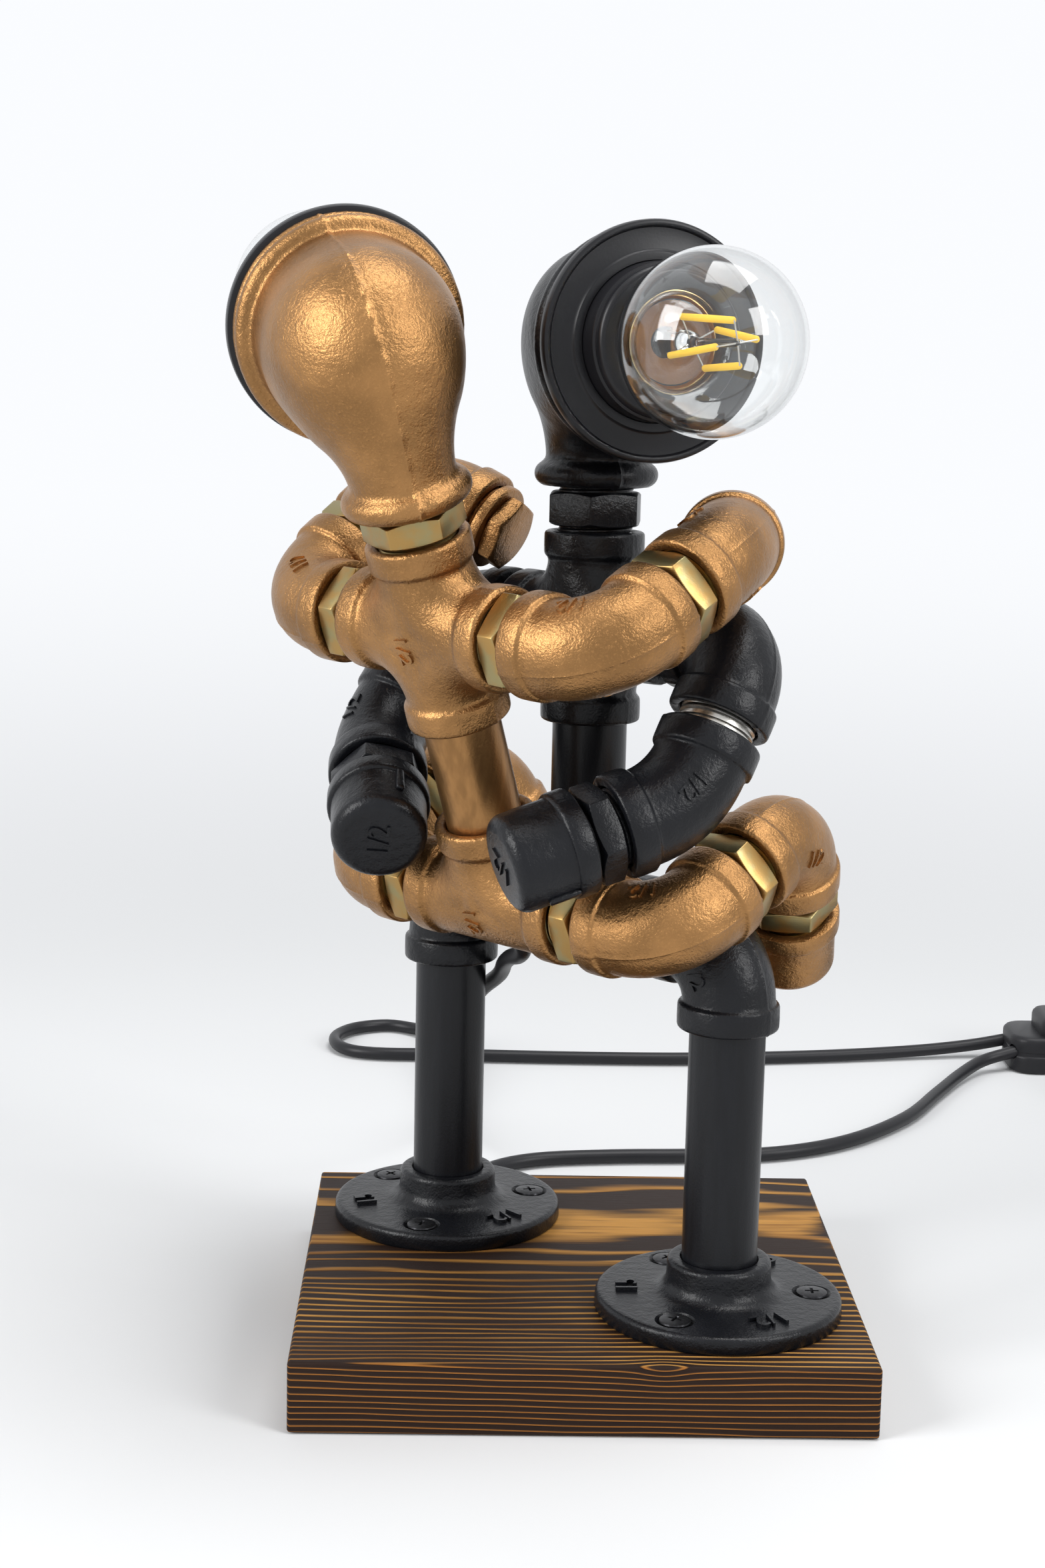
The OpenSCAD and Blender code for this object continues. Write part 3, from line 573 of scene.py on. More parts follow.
def elbow_shape(angle, reach):
    """A bent fitting: inlet at the origin with z into it, outlet bent towards x."""
    straight = reach - BEAD_H
    big = straight / math.tan(math.radians(angle) / 2)
    curve = math.radians(angle) * big
    whole = 2 * BEAD_H + curve

    def at(s):
        if s <= BEAD_H:
            return shift(z=s)
        phi = min(s - BEAD_H, curve) / big
        return (shift(x=big, z=BEAD_H) @ Matrix.Rotation(phi, 4, "Y") @ shift(x=-big)
                @ shift(z=max(0.0, s - BEAD_H - curve)))

    ends = bead_profile()
    count = max(8, round(curve / 1.6))
    middle = [(BEAD_H + 0.7 + (curve - 1.4) * i / count, BODY_R) for i in range(1, count)]
    rows = ends + middle + [(whole - s, r) for s, r in reversed(ends)]
    bm = bmesh.new()
    sweep(bm, [at(s) @ Matrix.Scale(r, 4) for s, r in rows], 120)
    seam(bm)
    return bm


def seam(bm, height=0.22, width=0.45, lumps=0.0, step=0.0):
    """Raises the mould's parting line along the plane y = 0, with lumps and a step between the halves."""
    bm.normal_update()
    bmesh.ops.recalc_face_normals(bm, faces=bm.faces)
    for v in bm.verts:
        if v.co.length > 3.0:
            near = max(0.0, 1.0 - abs(v.co.y) / width)
            x, z = v.co.x, v.co.z
            lump = 1.0 + lumps * math.sin(x * 0.9 + z * 0.7) * math.sin(x * 0.37 - z * 0.23)
            half = step * max(0.0, 1.0 - v.co.y / 10.0) if v.co.y > 0 else 0.0
            v.co += v.normal * (height * near * lump + half)


def tee_shape(reach, lower, voxel):
    """Run along x, branch along z, and a branch down for the cross; corners cast round."""
    bm = bmesh.new()
    ways = [tip(90), tip(-90), Matrix()] + ([tip(180)] if lower else [])
    inner = reach - BEAD_H
    for way in ways:
        outside = [(r, reach - s) for s, r in bead_profile()[2:-1]]
        lathe(bm, [(0.0, reach - 5.0), (PIPE_R + 0.2, reach - 5.0), (PIPE_R + 0.3, reach - 0.9)] + outside
              + [(BODY_R, inner - 0.9), (BODY_R, 0.0), (0.0, 0.0)], way, 96)
    for a, b in ([(0, 2), (1, 2)] + ([(0, 3), (1, 3)] if lower else [])):
        crotch(bm, 1 if a == 0 else -1, 1 if b == 2 else -1, inner)
    skin = remeshed(bm, voxel, 3)
    seam(skin, 0.2, 0.5)
    return skin


def crotch(bm, side, up, reach):
    """Quarter of a ring that rounds the corner between two branches."""
    steps = 14
    stations = []
    for i in range(steps + 1):
        phi = math.radians(90 * i / steps)
        out = Vector((reach * (1 - math.cos(phi)), 0, reach * (1 - math.sin(phi))))
        out.x, out.z = out.x * side, out.z * up
        tangent = Vector((math.sin(phi) * side, 0, -math.cos(phi) * up))
        stations.append(port(out, tangent, (0, 1, 0)) @ Matrix.Scale(BODY_R - 0.06, 4))
    sweep(bm, stations, 72, capped=True)


def thread(bm, start, end, radius, pitch=1.814, depth=0.9, segments=48):
    """A helical thread by spinning one ridge while it climbs."""
    turns = max(1, math.ceil((end - start) / pitch))
    ridge = [(radius, 0.25), (radius, pitch * 0.5 - 0.25), (radius - depth, pitch - 0.25),
             (radius - depth, pitch), (radius, pitch + 0.25)]
    verts = [bm.verts.new((r, 0.0, start - pitch + z)) for r, z in ridge]
    edges = [bm.edges.new(pair) for pair in zip(verts, verts[1:])]
    steps = segments * (turns + 1)
    bmesh.ops.spin(bm, geom=verts + edges, cent=(0, 0, 0), axis=(0, 0, 1), dvec=(0, 0, pitch / segments),
                   angle=2 * math.pi * (turns + 1), steps=steps, use_merge=False, use_duplicate=False)


def hexagon(bm, base, height, flats, chamfer=1.1):
    """A turned and chamfered disc, milled to six flats."""
    corner = flats / 2 / math.cos(math.radians(30))
    disc = bmesh.new()
    rim = [(0.0, base), (flats / 2 - 0.5, base), (corner + 0.3, base + chamfer),
           (corner + 0.3, base + height - chamfer), (flats / 2 - 0.5, base + height), (0.0, base + height)]
    lathe(disc, rim, segments=120)
    cleaned(disc)
    for k in range(6):
        out = heading(60 * k + 30)
        cut = bmesh.ops.bisect_plane(disc, geom=disc.verts[:] + disc.edges[:] + disc.faces[:], dist=1e-5,
                                     plane_co=out * (flats / 2), plane_no=out, clear_outer=True)
        open_edges = [g for g in cut["geom_cut"] if isinstance(g, bmesh.types.BMEdge)]
        bmesh.ops.edgeloop_fill(disc, edges=open_edges)
    sharp = [e for e in disc.edges if len(e.link_faces) == 2 and e.calc_face_angle(0) > math.radians(40)]
    rounded(disc, sharp, 0.22, 2)
    gather(bm, disc)


def short_nipple_shape(gap):
    """Close nipple: bare thread from one fitting to the next, its gap starting at z = 0."""
    bm = bmesh.new()
    thread(bm, -3.0, gap + 3.0, PIPE_R)
    lathe(bm, [(BORE_R - 0.5, -THREAD), (PIPE_R - 0.9, -THREAD), (PIPE_R - 0.5, -THREAD + 0.6),
               (PIPE_R - 0.5, gap + THREAD - 0.6), (PIPE_R - 0.9, gap + THREAD),
               (BORE_R - 0.5, gap + THREAD)], segments=64, closed=True)
    return bm


def nipple_shape(gap, height=HEX_H, flats=HEX_ACROSS):
    """Hex nipple; its gap between fittings starts at z = 0."""
    bm = short_nipple_shape(gap)
    hexagon(bm, (gap - height) / 2, height, flats)
    return bm


def pipe_shape(length):
    bm = bmesh.new()
    lathe(bm, [(BORE_R, 0.6), (BORE_R + 0.6, 0.0), (PIPE_R - 0.6, 0.0), (PIPE_R, 0.6),
               (PIPE_R, length - 0.6), (PIPE_R - 0.6, length), (BORE_R + 0.6, length),
               (BORE_R, length - 0.6)], segments=96, closed=True)
    return bm


def cap_shape():
    """Pipe cap: banded mouth at z = 0, rounded end, two small grip ribs."""
    bm = bmesh.new()
    lathe(bm, [(PIPE_R + 0.2, 2.6), (PIPE_R + 0.35, 0.9), (11.5, 0.15), (12.0, 0.0), (13.6, 0.0),
               (14.25, 0.25), (14.5, 0.8), (14.55, 4.6), (14.45, 5.4), (14.1, 5.9), (13.6, 6.1),
               (13.45, 6.6), (13.4, 12.0)] + arc(9.7, 18.3, 3.7, 0, 90, 8) + [(5.0, 22.08), (0.0, 22.1)],
          segments=96)
    for side in (0, 180):
        rib = block(bm, (2.0, 2.4, 9.0), turn(side + 20) @ shift(x=13.6, z=10.2))
        rounded(bm, {e for v in rib for e in v.link_edges}, 0.7, 3)
    return bm


def plug_shape():
    """Beaded plug with a square-shouldered hex head, its face against the port at z = 0."""
    bm = bmesh.new()
    lathe(bm, [(PIPE_R - 0.9, -THREAD), (PIPE_R - 0.4, -THREAD + 0.8), (PIPE_R - 0.4, 0.4), (10.2, 0.7),
               (10.2, 1.4), (12.2, 1.5), (12.55, 1.8), (12.6, 2.6), (12.6, 3.9), (12.3, 4.5), (11.6, 4.7),
               (0.0, 4.7)], segments=96)
    thread(bm, -2.0, 1.2, PIPE_R, depth=0.8)
    hexagon(bm, 4.6, 5.4, 19.0, 1.0)
    return bm


HEAD_HIGH, PORT_X, THROAT_R, SKIN_R, DOME_X = 40.0, 37.0, 14.5, 27.0, 9.0
SKIN_END = PORT_X - 9.0


def throat(s):
    a = math.radians(90 * s)
    return Vector((THROAT_R + (SKIN_END - THROAT_R) * (1 - math.cos(a)), 0,
                   6 + (HEAD_HIGH - SKIN_R - 6) * math.sin(a)))


def crown(s):
    if s < 0.4:
        return Vector((-THROAT_R + (DOME_X - SKIN_R + THROAT_R) * s / 0.4, 0,
                       6 + (HEAD_HIGH - 6) * s / 0.4))
    if s < 0.9:
        a = math.radians(180 - 90 * (s - 0.4) / 0.5)
        return Vector((DOME_X + SKIN_R * math.cos(a), 0, HEAD_HIGH + SKIN_R * math.sin(a)))
    return Vector((DOME_X + (SKIN_END - DOME_X) * (s - 0.9) / 0.1, 0, HEAD_HIGH + SKIN_R))


def squeeze(s):
    return 1 - 0.135 * max(0.0, math.sin(math.pi * s)) ** 0.6


def head_shape():
    """Reducing elbow: neck bead, a dome strung between throat and crown, and the wide port."""
    bm = bmesh.new()
    lathe(bm, [(0, 4.6), (11.2, 4.6), (11.4, 0.7), (12.4, 0.0), (15.2, 0.0)]
          + arc(14.1, 3.4, 3.4, -80, 80, 12) + [(15.0, 7.0), (0, 7.0)], segments=120)
    stations = []
    for i in range(49):
        low, high = throat(i / 48), crown(i / 48)
        middle, half = (low + high) / 2, (low - high) / 2
        tangent = Vector((0, 1, 0)).cross(half)
        wide = half.length * squeeze(i / 48)
        stations.append(port(middle, -tangent, half) @ Matrix.Diagonal((half.length, wide, half.length, 1)))
    sweep(bm, stations, 96, capped=True)
    lathe(bm, [(0, -9.0), (27.6, -9.0)] + arc(28.1, -6.3, 2.7, -75, 60, 10)
          + [(29.3, -3.3), (29.35, -2.9), (30.2, -2.5), (30.55, -1.9), (30.5, -0.6), (30.1, -0.1),
             (29.6, 0.0), (0, 0.0)], shift(x=PORT_X, z=HEAD_HIGH) @ tip(90), 144)
    skin = remeshed(bm, 0.6, 4)
    seam(skin, 0.5, 0.8, 0.7, 0.2)
    return skin


FACE = shift(x=PORT_X, z=HEAD_HIGH) @ tip(90)
HOLDER_R, GLOBE_R, GLOBE_Z = 21.0, 24.0, 39.8


def ring_shape():
    bm = bmesh.new()
    lathe(bm, [(HOLDER_R + 0.1, 0.0), (31.0, 0.0), (31.6, 0.3), (31.8, 0.9), (31.8, 3.0), (31.55, 3.7),
               (31.0, 4.0), (30.3, 4.0), (29.9, 3.75), (29.6, 3.2), (24.2, 3.2), (23.8, 3.4), (23.4, 3.9),
               (22.9, 4.0), (HOLDER_R + 0.3, 4.0), (HOLDER_R + 0.1, 3.8)], segments=144, closed=True)
    return bm


def holder_shape():
    bm = bmesh.new()
    lathe(bm, [(3.5, -21), (HOLDER_R - 3, -21), (HOLDER_R - 0.6, -19.6), (HOLDER_R, -18), (HOLDER_R, 9.6),
               (HOLDER_R - 0.25, 10.2), (HOLDER_R - 0.9, 10.5), (HOLDER_R - 1.0, 10.8),
               (HOLDER_R - 0.9, 11.1)]
          + arc(HOLDER_R - 2.4, 12.4, 1.6, 0, 90, 6)
          + [(16.5, 14.0), (15.2, 13.8), (14.2, 13.0), (13.5, 11.5), (13.3, 9.0), (13.3, -15), (3.5, -15)],
          segments=144, closed=True)
    return bm


def glass_shape():
    """Blown globe with a wall, narrowing into the cap."""
    bm = bmesh.new()
    wall = 0.7
    neck = GLOBE_Z - math.sqrt((GLOBE_R + 4) ** 2 - 17 ** 2)
    lean = math.degrees(math.asin((GLOBE_Z - neck) / (GLOBE_R + 4)))
    outer = [(12.9, 12.4)] + arc(17, neck, 4, 180, 180 - lean, 8) + arc(0, GLOBE_Z, GLOBE_R, -lean, 90, 56)
    inner = (arc(0, GLOBE_Z, GLOBE_R - wall, 90, -lean, 56) + arc(17, neck, 4 + wall, 180 - lean, 180, 8)
             + [(12.9 - wall, 12.4)])
    outer[-1], inner[0] = (0.0, GLOBE_Z + GLOBE_R), (0.0, GLOBE_Z + GLOBE_R - wall)
    lathe(bm, outer + inner, segments=128)
    bmesh.ops.remove_doubles(bm, verts=bm.verts, dist=0.0005)
    ring = [e for e in bm.edges if len(e.link_faces) == 1]
    bmesh.ops.bridge_loops(bm, edges=ring)
    return bm


def stem_shape():
    """Glass foot flaring from the cap into the pinched post that carries the wires."""
    bm = bmesh.new()
    lathe(bm, [(11.4, 13.6), (9.6, 13.9), (7.4, 15.0), (5.6, 16.8), (4.4, 19.4), (3.6, 22.5), (3.0, 25.0),
               (2.6, 27.0), (1.6, 28.2), (1.1, 29.5), (1.0, 53.6), (0.6, 54.4), (0.0, 54.6)], segments=64)
    lathe(bm, [(11.4, 13.6), (11.0, 13.2), (7.0, 14.2), (4.9, 16.6), (3.6, 19.4), (2.6, 21.6), (0.0, 22.4)],
          segments=64)
    return bm


def stick_ends(k):
    """Where light stick k begins near the cap, and where it ends, nearer the axis and turned back."""
    return heading(28 + 90 * k) * 7.3 + UP * 27.0, heading(10 + 90 * k) * 5.5 + UP * 53.8


def wires_shape():
    """Support wires at both ends of the light sticks and the leads in the post."""
    bm = bmesh.new()
    for k in range(4):
        for end, z in zip(stick_ends(k), (26.4, 54.2)):
            root = Vector((end.x * 0.1, end.y * 0.1, z))
            sweep(bm, [port(root.lerp(end, f), end - root, UP) @ Matrix.Scale(0.22, 4)
                       for f in (0.0, 0.4, 0.8, 1.0)], 8, capped=True)
    for x in (-1.6, 1.6):
        sweep(bm, [shift(x=x * f, z=z) @ Matrix.Scale(0.3, 4)
                   for f, z in ((1.6, 12.0), (1.0, 19.0), (0.9, 26.4))], 8, capped=True)
    return bm


def sticks_shape():
    bm = bmesh.new()
    for k in range(4):
        low, high = stick_ends(k)
        lathe(bm, [(0.0, 0.0), (0.5, 0.1), (0.9, 0.7), (0.95, 13.5), (0.9, 26.3), (0.5, 26.9), (0.0, 27.0)],
              port(low, high - low, (1, 0, 0)), 20)
    return bm


def screw_cap_shape():
    """E27 cap with its rolled thread, collar and centre contact."""
    bm = bmesh.new()
    rows = []
    for i in range(28):
        z = -7.2 + i * 0.62
        rows.append((12.75 + 0.5 * math.cos(2 * math.pi * z / 3.63), z))
    lathe(bm, [(0.0, -14.0), (3.6, -14.0), (4.2, -13.2), (5.0, -12.4), (9.0, -11.4), (12.0, -8.4)] + rows
          + [(12.3, 10.4), (12.35, 11.8), (13.0, 12.4), (13.15, 13.1), (12.4, 13.3)], segments=96)
    return bm


def cement_shape():
    """Amber cement between cap and glass, its rim ragged."""
    bm = bmesh.new()
    lathe(bm, [(12.05, 14.2), (12.0, 12.6), (11.2, 10.6), (8.0, 9.4), (4.0, 9.2), (4.0, 8.4), (8.2, 8.6),
               (11.7, 9.9), (12.15, 12.4), (12.15, 14.2)], segments=120, closed=True)
    for v in bm.verts:
        if v.co.z > 14.0:
            a = math.atan2(v.co.y, v.co.x)
            v.co.z += 0.3 * math.sin(7 * a) + 0.25 * math.sin(16 * a + 1) + 0.15 * math.sin(37 * a)
    return bm


def cut(bm, cutters):
    """bm with the closed shells of cutters taken away."""
    objects = []
    for source in (bm, cutters):
        cleaned(source)
        objects.append(placed("cut", poured("cut", source)))
    modifier = objects[0].modifiers.new("cut", "BOOLEAN")
    modifier.object, modifier.operation, modifier.solver = objects[1], "DIFFERENCE", "EXACT"
    modifier.use_self = True
    result = bmesh.new()
    result.from_object(objects[0], bpy.context.evaluated_depsgraph_get())
    for made in objects:
        mesh = made.data
        bpy.data.objects.remove(made)
        bpy.data.meshes.remove(mesh)
    return result


def cast_mark(bm, text, size, at, proud=1.0):
    """Raises a cast number on the skin of bm: it is read in the x-y plane of at, and falls along -z."""
    curve = bpy.data.curves.new("mark", "FONT")
    curve.body, curve.size, curve.align_x, curve.align_y = text, size, "CENTER", "CENTER"
    curve.resolution_u = 3
    holder = placed("mark", curve)
    mesh = bpy.data.meshes.new_from_object(holder.evaluated_get(bpy.context.evaluated_depsgraph_get()))
    bpy.data.objects.remove(holder)
    bpy.data.curves.remove(curve)
    mark = bmesh.new()
    mark.from_mesh(mesh)
    bpy.data.meshes.remove(mesh)
    bmesh.ops.remove_doubles(mark, verts=mark.verts, dist=0.001)
    long_edges = [e for e in mark.edges if e.calc_length() > size * 0.22]
    bmesh.ops.subdivide_edges(mark, edges=long_edges, cuts=2)
    bmesh.ops.triangulate(mark, faces=mark.faces)
    moved(mark, at)
    height = bpy.context.scene.lamp_sizes.mark_height / MM * proud
    tree = BVHTree.FromBMesh(bm)
    down = -(at.to_3x3() @ Vector((0, 0, 1))).normalized()
    grown = bmesh.ops.extrude_face_region(mark, geom=mark.faces[:])["geom"]
    top = {g for g in grown if isinstance(g, bmesh.types.BMVert)}
    for v in mark.verts:
        hit = tree.ray_cast(v.co, down)
        if hit[0] is None:
            hit = tree.find_nearest(v.co)
        v.co = hit[0] - down * (height if v in top else -MARK_SINK)
    bmesh.ops.recalc_face_normals(mark, faces=mark.faces)
    gather(bm, mark)


def flange_shape(start):
    """Three-hole floor flange with a filleted hub; holes at start and every third of a turn."""
    bm = bmesh.new()
    lathe(bm, [(PIPE_R - 0.4, 3.0), (PIPE_R - 0.4, FLANGE_H - 1.2), (PIPE_R + 0.5, FLANGE_H - 0.15),
               (12.0, FLANGE_H)] + arc(13.1, FLANGE_H - 1.6, 1.6, 80, 0, 6) + [(14.75, 10.6)]
          + arc(19.4, 10.2, 4.6, 180, 262, 9) + [(21.0, 5.45), (32.6, 5.2)] + arc(33.2, 3.6, 1.6, 80, 0, 6)
          + [(34.95, 0.8), (34.4, 0.0), (PIPE_R - 0.4, 0.0)], segments=144, closed=True)
    cutters = bmesh.new()
    for k in range(3):
        at = heading(start + 120 * k) * SCREW_CIRCLE
        lathe(cutters, [(0, -1), (2.6, -1), (2.6, 2.6), (5.6, 5.3), (5.9, 6.5), (0, 6.5)],
              Matrix.Translation(at), 40)
    return cut(bm, cutters)


def screw_shape():
    """Countersunk wood screw with a cross recess, its flange seat at z = 0."""
    bm = bmesh.new()
    lathe(bm, [(0, -12.0), (0.4, -11.6), (2.0, -8.0), (2.0, 2.4), (2.3, 2.9), (4.2, 4.8), (4.45, 5.1),
               (4.3, 5.5), (3.4, 5.75), (0, 5.85)], segments=56)
    cutters = bmesh.new()
    for angle in (0, 90):
        for v in block(cutters, (4.6, 0.95, 2.4), turn(angle) @ shift(z=5.2)):
            if v.co.z < 5:
                v.co.x, v.co.y = v.co.x * 0.45, v.co.y * 0.45
    return cut(bm, cutters)


def board_shape(size):
    """Plate with eased edges, the wiring hole under the left flange and its groove to the back."""
    width, depth, thick = size.plate_width / MM, size.plate_depth / MM, size.plate_thickness / MM
    bm = bmesh.new()
    block(bm, (width, depth, thick), shift(z=thick / 2))
    rounded(bm, bm.edges, size.plate_easing / MM, 4)
    cutters = bmesh.new()
    hole = FEET[1]
    lathe(cutters, [(0, -1), (7, -1), (7, thick + 1), (0, thick + 1)], shift(hole.x, hole.y), 48)
    block(cutters, (8.0, depth, 9.5), shift(hole.x, hole.y + depth / 2, 3.75))
    bm = cut(bm, cutters)
    bmesh.ops.triangulate(bm, faces=[f for f in bm.faces if len(f.verts) > 4])
    return bm


# ---------------------------------------------------------------- cords

def smooth(route, steps):
    """A curve through the route's points, straight where they are."""
    points = []
    for i in range(len(route) - 1):
        a, b, c, d = (Vector(route[max(i - 1, 0)]), Vector(route[i]), Vector(route[i + 1]),
                      Vector(route[min(i + 2, len(route) - 1)]))
        for k in range(steps):
            u = k / steps
            points.append((b * 2 + (c - a) * u + (a * 2 - b * 5 + c * 4 - d) * u * u
                           + (b * 3 - a - c * 3 + d) * u ** 3) * 0.5)
    return points + [Vector(route[-1])]


COIL_AT, COIL_R, TIE_ANGLE = (250.0, 205.0, 0.0), 30.0, 110


def eased(u, start, end):
    t = min(1.0, max(0.0, (u - start) / (end - start)))
    return t * t * (3 - 2 * t)


def coiled(step):
    """The stored length, clockwise from where it comes in: three turns below, three above."""
    points = []
    for i in range(round(2160 / step) + 1):
        u = i * step
        r = (COIL_R + 5 - 5 * eased(u, 306, 342) - 5 * eased(u, 666, 702) + 5 * eased(u, 1314, 1350)
             + 5 * eased(u, 1674, 1710))
        z = 2.52 + 5 * eased(u, 990, 1026) + 5.02 * eased(u, 1980, 2016)
        on_tie = math.exp(-((u % 360 - TIE_ANGLE) / 16) ** 2)
        points.append(Vector(COIL_AT) + heading(-u) * r + UP * (z + 0.55 * on_tie))
    return points


def length_of(points):
    return sum((b - a).length for a, b in zip(points, points[1:]))


def cord_shape(points, radius, segments=20):
    """A round sheath along points, its ring carried along without twist."""
    bm = bmesh.new()
    side = Vector((0.0, 0.0, 1.0))
    stations = []
    for i, point in enumerate(points):
        along = (points[min(i + 1, len(points) - 1)] - points[max(i - 1, 0)]).normalized()
        if abs(along.dot(side)) > 0.95:
            side = Vector((1.0, 0.0, 0.0))
        stations.append(port(point, along, side) @ Matrix.Scale(radius, 4))
        side = (side - along * along.dot(side)).normalized()
    sweep(bm, stations, segments, capped=True)
    return bm


def box(bm, size, centre, upright, rim):
    """A block with its upright edges rounded by one radius and its rims by another."""
    edges = {e for v in block(bm, size, Matrix.Translation(centre)) for e in v.link_edges}
    sides = [e for e in edges if abs(e.verts[0].co.z - e.verts[1].co.z) > size[2] / 2]
    corners = rounded(bm, sides, upright, 5)
    top, bottom = centre[2] + size[2] / 2, centre[2] - size[2] / 2
    near = {e for f in corners for v in f.verts for e in v.link_edges}
    near |= {e for e in edges if e.is_valid}
    rims = [e for e in near if abs(e.verts[0].co.z - e.verts[1].co.z) < 1e-4
            and min(abs(e.verts[0].co.z - top), abs(e.verts[0].co.z - bottom)) < 1e-4]
    rounded(bm, rims, rim, 3)


SWITCH_AT = Vector((190.0, 279.0, 0.0))
SWITCH_MID = 33.0


def switch_shape():
    """Inline switch case: two shells with a parting line, a raised middle and a rocker well."""
    bm = bmesh.new()
    box(bm, (66.0, 30.0, 7.3), (SWITCH_MID, 0, 3.65), 9.0, 1.2)
    box(bm, (65.0, 29.0, 3.0), (SWITCH_MID, 0, 7.4), 8.5, 0.2)
    box(bm, (66.0, 30.0, 7.3), (SWITCH_MID, 0, 11.3), 9.0, 2.0)
    box(bm, (42.0, 29.6, 14.0), (SWITCH_MID, 0, 15.0), 7.0, 2.6)
    cutters = bmesh.new()
    box(cutters, (24.0, 16.0, 12.0), (SWITCH_MID, 0, 20.0), 1.2, 0.2)
    for y, x in ((-9, -2), (9, -2), (0, 66)):
        lathe(cutters, [(0, -2), (3.0, -2), (3.0, 4), (0, 4)], shift(x, y, 8) @ tip(90), 32)
    for x, y in ((20, 0), (46, 0)):
        lathe(cutters, [(0, -1), (3.0, -1), (3.0, 1.6), (0, 1.6)], shift(x, y), 32)
    return moved(cut(bm, cutters), Matrix.Translation(SWITCH_AT))


def rocker_shape():
    """See-saw button with a bar for on and a ring for off."""
    bm = bmesh.new()
    side = [(-11.3, 1.4), (-11.3, -2.0), (0.0, -5.6), (11.3, -2.0), (11.3, 4.4)]
    top = [(11.3 - 22.6 * i / 20, 1.35 + 3.1 * ((20 - i) / 20) ** 2.2 + 0.05 * i / 20)
           for i in range(1, 20)]
    outline = side + top
    verts = [bm.verts.new((x, -7.6, z)) for x, z in outline]
    face = bm.faces.new(verts)
    bmesh.ops.solidify(bm, geom=[face], thickness=0.0)
    raised(bm, bmesh.ops.extrude_face_region(bm, geom=[face]), (0, 15.2, 0))
    sharp = [e for e in bm.edges if len(e.link_faces) == 2 and e.calc_face_angle(0) > math.radians(50)]
    rounded(bm, sharp, 0.45, 3)
    lathe(bm, [(0, -9.0), (1.5, -9.0), (1.5, 9.0), (0, 9.0)], LYING, 24)
    block(bm, (0.9, 4.6, 0.9), shift(7.0, 0, 2.95) @ tip(-16))
    lathe(bm, [(1.6, 0.9), (1.6, 1.7), (2.3, 1.7), (2.3, 0.9)], shift(-6.6, 0, 0.1), 32, closed=True)
    return moved(bm, Matrix.Translation(SWITCH_AT + Vector((SWITCH_MID, 0, 20))))


def relief_shape(start, out, length, wide, narrow, ribs):
    """Tapered sleeve with ribs that keeps the cord from kinking."""
    bm = bmesh.new()
    rows = [(narrow * 0.6, 0.0), (wide, 0.0)]
    for k in range(ribs):
        z0, z1 = length * (k + 0.15) / ribs, length * (k + 0.95) / ribs
        r0 = wide + (narrow - wide) * k / ribs
        r1 = wide + (narrow - wide) * (k + 1) / ribs
        rows += [(r0, z0), (r0 - 0.25, z0 + 0.25), ((r0 + r1) / 2 - 0.85, z0 + 0.5),
                 ((r0 + r1) / 2 - 0.85, z1 - 0.9), (r1 - 0.1, z1 - 0.4), (r1, z1)]
    rows += [(narrow, length - 0.3), (narrow - 0.3, length), (narrow * 0.6, length)]
    lathe(bm, rows, port(start, out, (0, 0, 1)), 40, closed=True)
    return bm


PLUG_HALF, PIN_X, PIN_ROOT = 6.85, 9.1, -30.5
PLUG_AT = Vector((285.0, 132.0, PLUG_HALF))


def plug_body_shape():
    """Flat two pin plug: waisted grip, face towards -Y."""
    bm = bmesh.new()
    outline = [(-7, 0), (7, 0), (17.65, -14), (17.65, -27), (15.5, -31), (-15.5, -31), (-17.65, -27),
               (-17.65, -14)]
    face = bm.faces.new([bm.verts.new((x, y, -PLUG_HALF)) for x, y in outline])
    raised(bm, bmesh.ops.extrude_face_region(bm, geom=[face]), (0, 0, 2 * PLUG_HALF))
    bmesh.ops.recalc_face_normals(bm, faces=bm.faces)
    uprights = [e for e in bm.edges if abs(e.verts[0].co.z - e.verts[1].co.z) > 5]
    rounded(bm, uprights, 2.4, 4)
    rims = [e for e in bm.edges if abs(e.verts[0].co.z - e.verts[1].co.z) < 1e-4
            and abs(abs(e.verts[0].co.z) - PLUG_HALF) < 1e-3 and len(e.link_faces) == 2
            and e.calc_face_angle(0) > math.radians(60)]
    rounded(bm, rims, 2.0, 4)
    for x in (-PIN_X, PIN_X):
        lathe(bm, [(0, 0), (1.95, 0), (1.95, 9.7), (1.8, 10.0), (0, 10.0)],
              shift(x, PIN_ROOT, 0) @ LYING, 28)
    return moved(bm, Matrix.Translation(PLUG_AT))


def pins_shape():
    bm = bmesh.new()
    for x in (-PIN_X, PIN_X):
        lathe(bm, [(0, 8.0), (2.0, 8.0), (2.0, 17.6), (1.85, 18.6), (1.4, 19.2), (0.7, 19.45), (0, 19.5)],
              shift(x, PIN_ROOT, 0) @ LYING, 28)
    return moved(bm, Matrix.Translation(PLUG_AT))


def tie_shape():
    """A strap round the coil's six strands, its ring in the x-z plane."""
    bm = bmesh.new()
    corners = ((5.9, 3.4, 0), (-5.9, 3.4, 90), (-5.9, -3.4, 180), (5.9, -3.4, 270))
    outline = [(x + dx, z + dz) for x, z, a in corners for dx, dz in arc(0, 0, 1.75, a, a + 90, 5)]
    verts = [bm.verts.new((x, -4.5, z)) for x, z in outline]
    edges = [bm.edges.new(pair) for pair in zip(verts, verts[1:] + verts[:1])]
    raised(bm, bmesh.ops.extrude_edge_only(bm, edges=edges), (0, 9.0, 0))
    bmesh.ops.recalc_face_normals(bm, faces=bm.faces)
    bmesh.ops.solidify(bm, geom=bm.faces[:], thickness=-0.5)
    return bm


# ---------------------------------------------------------------- finishes by name

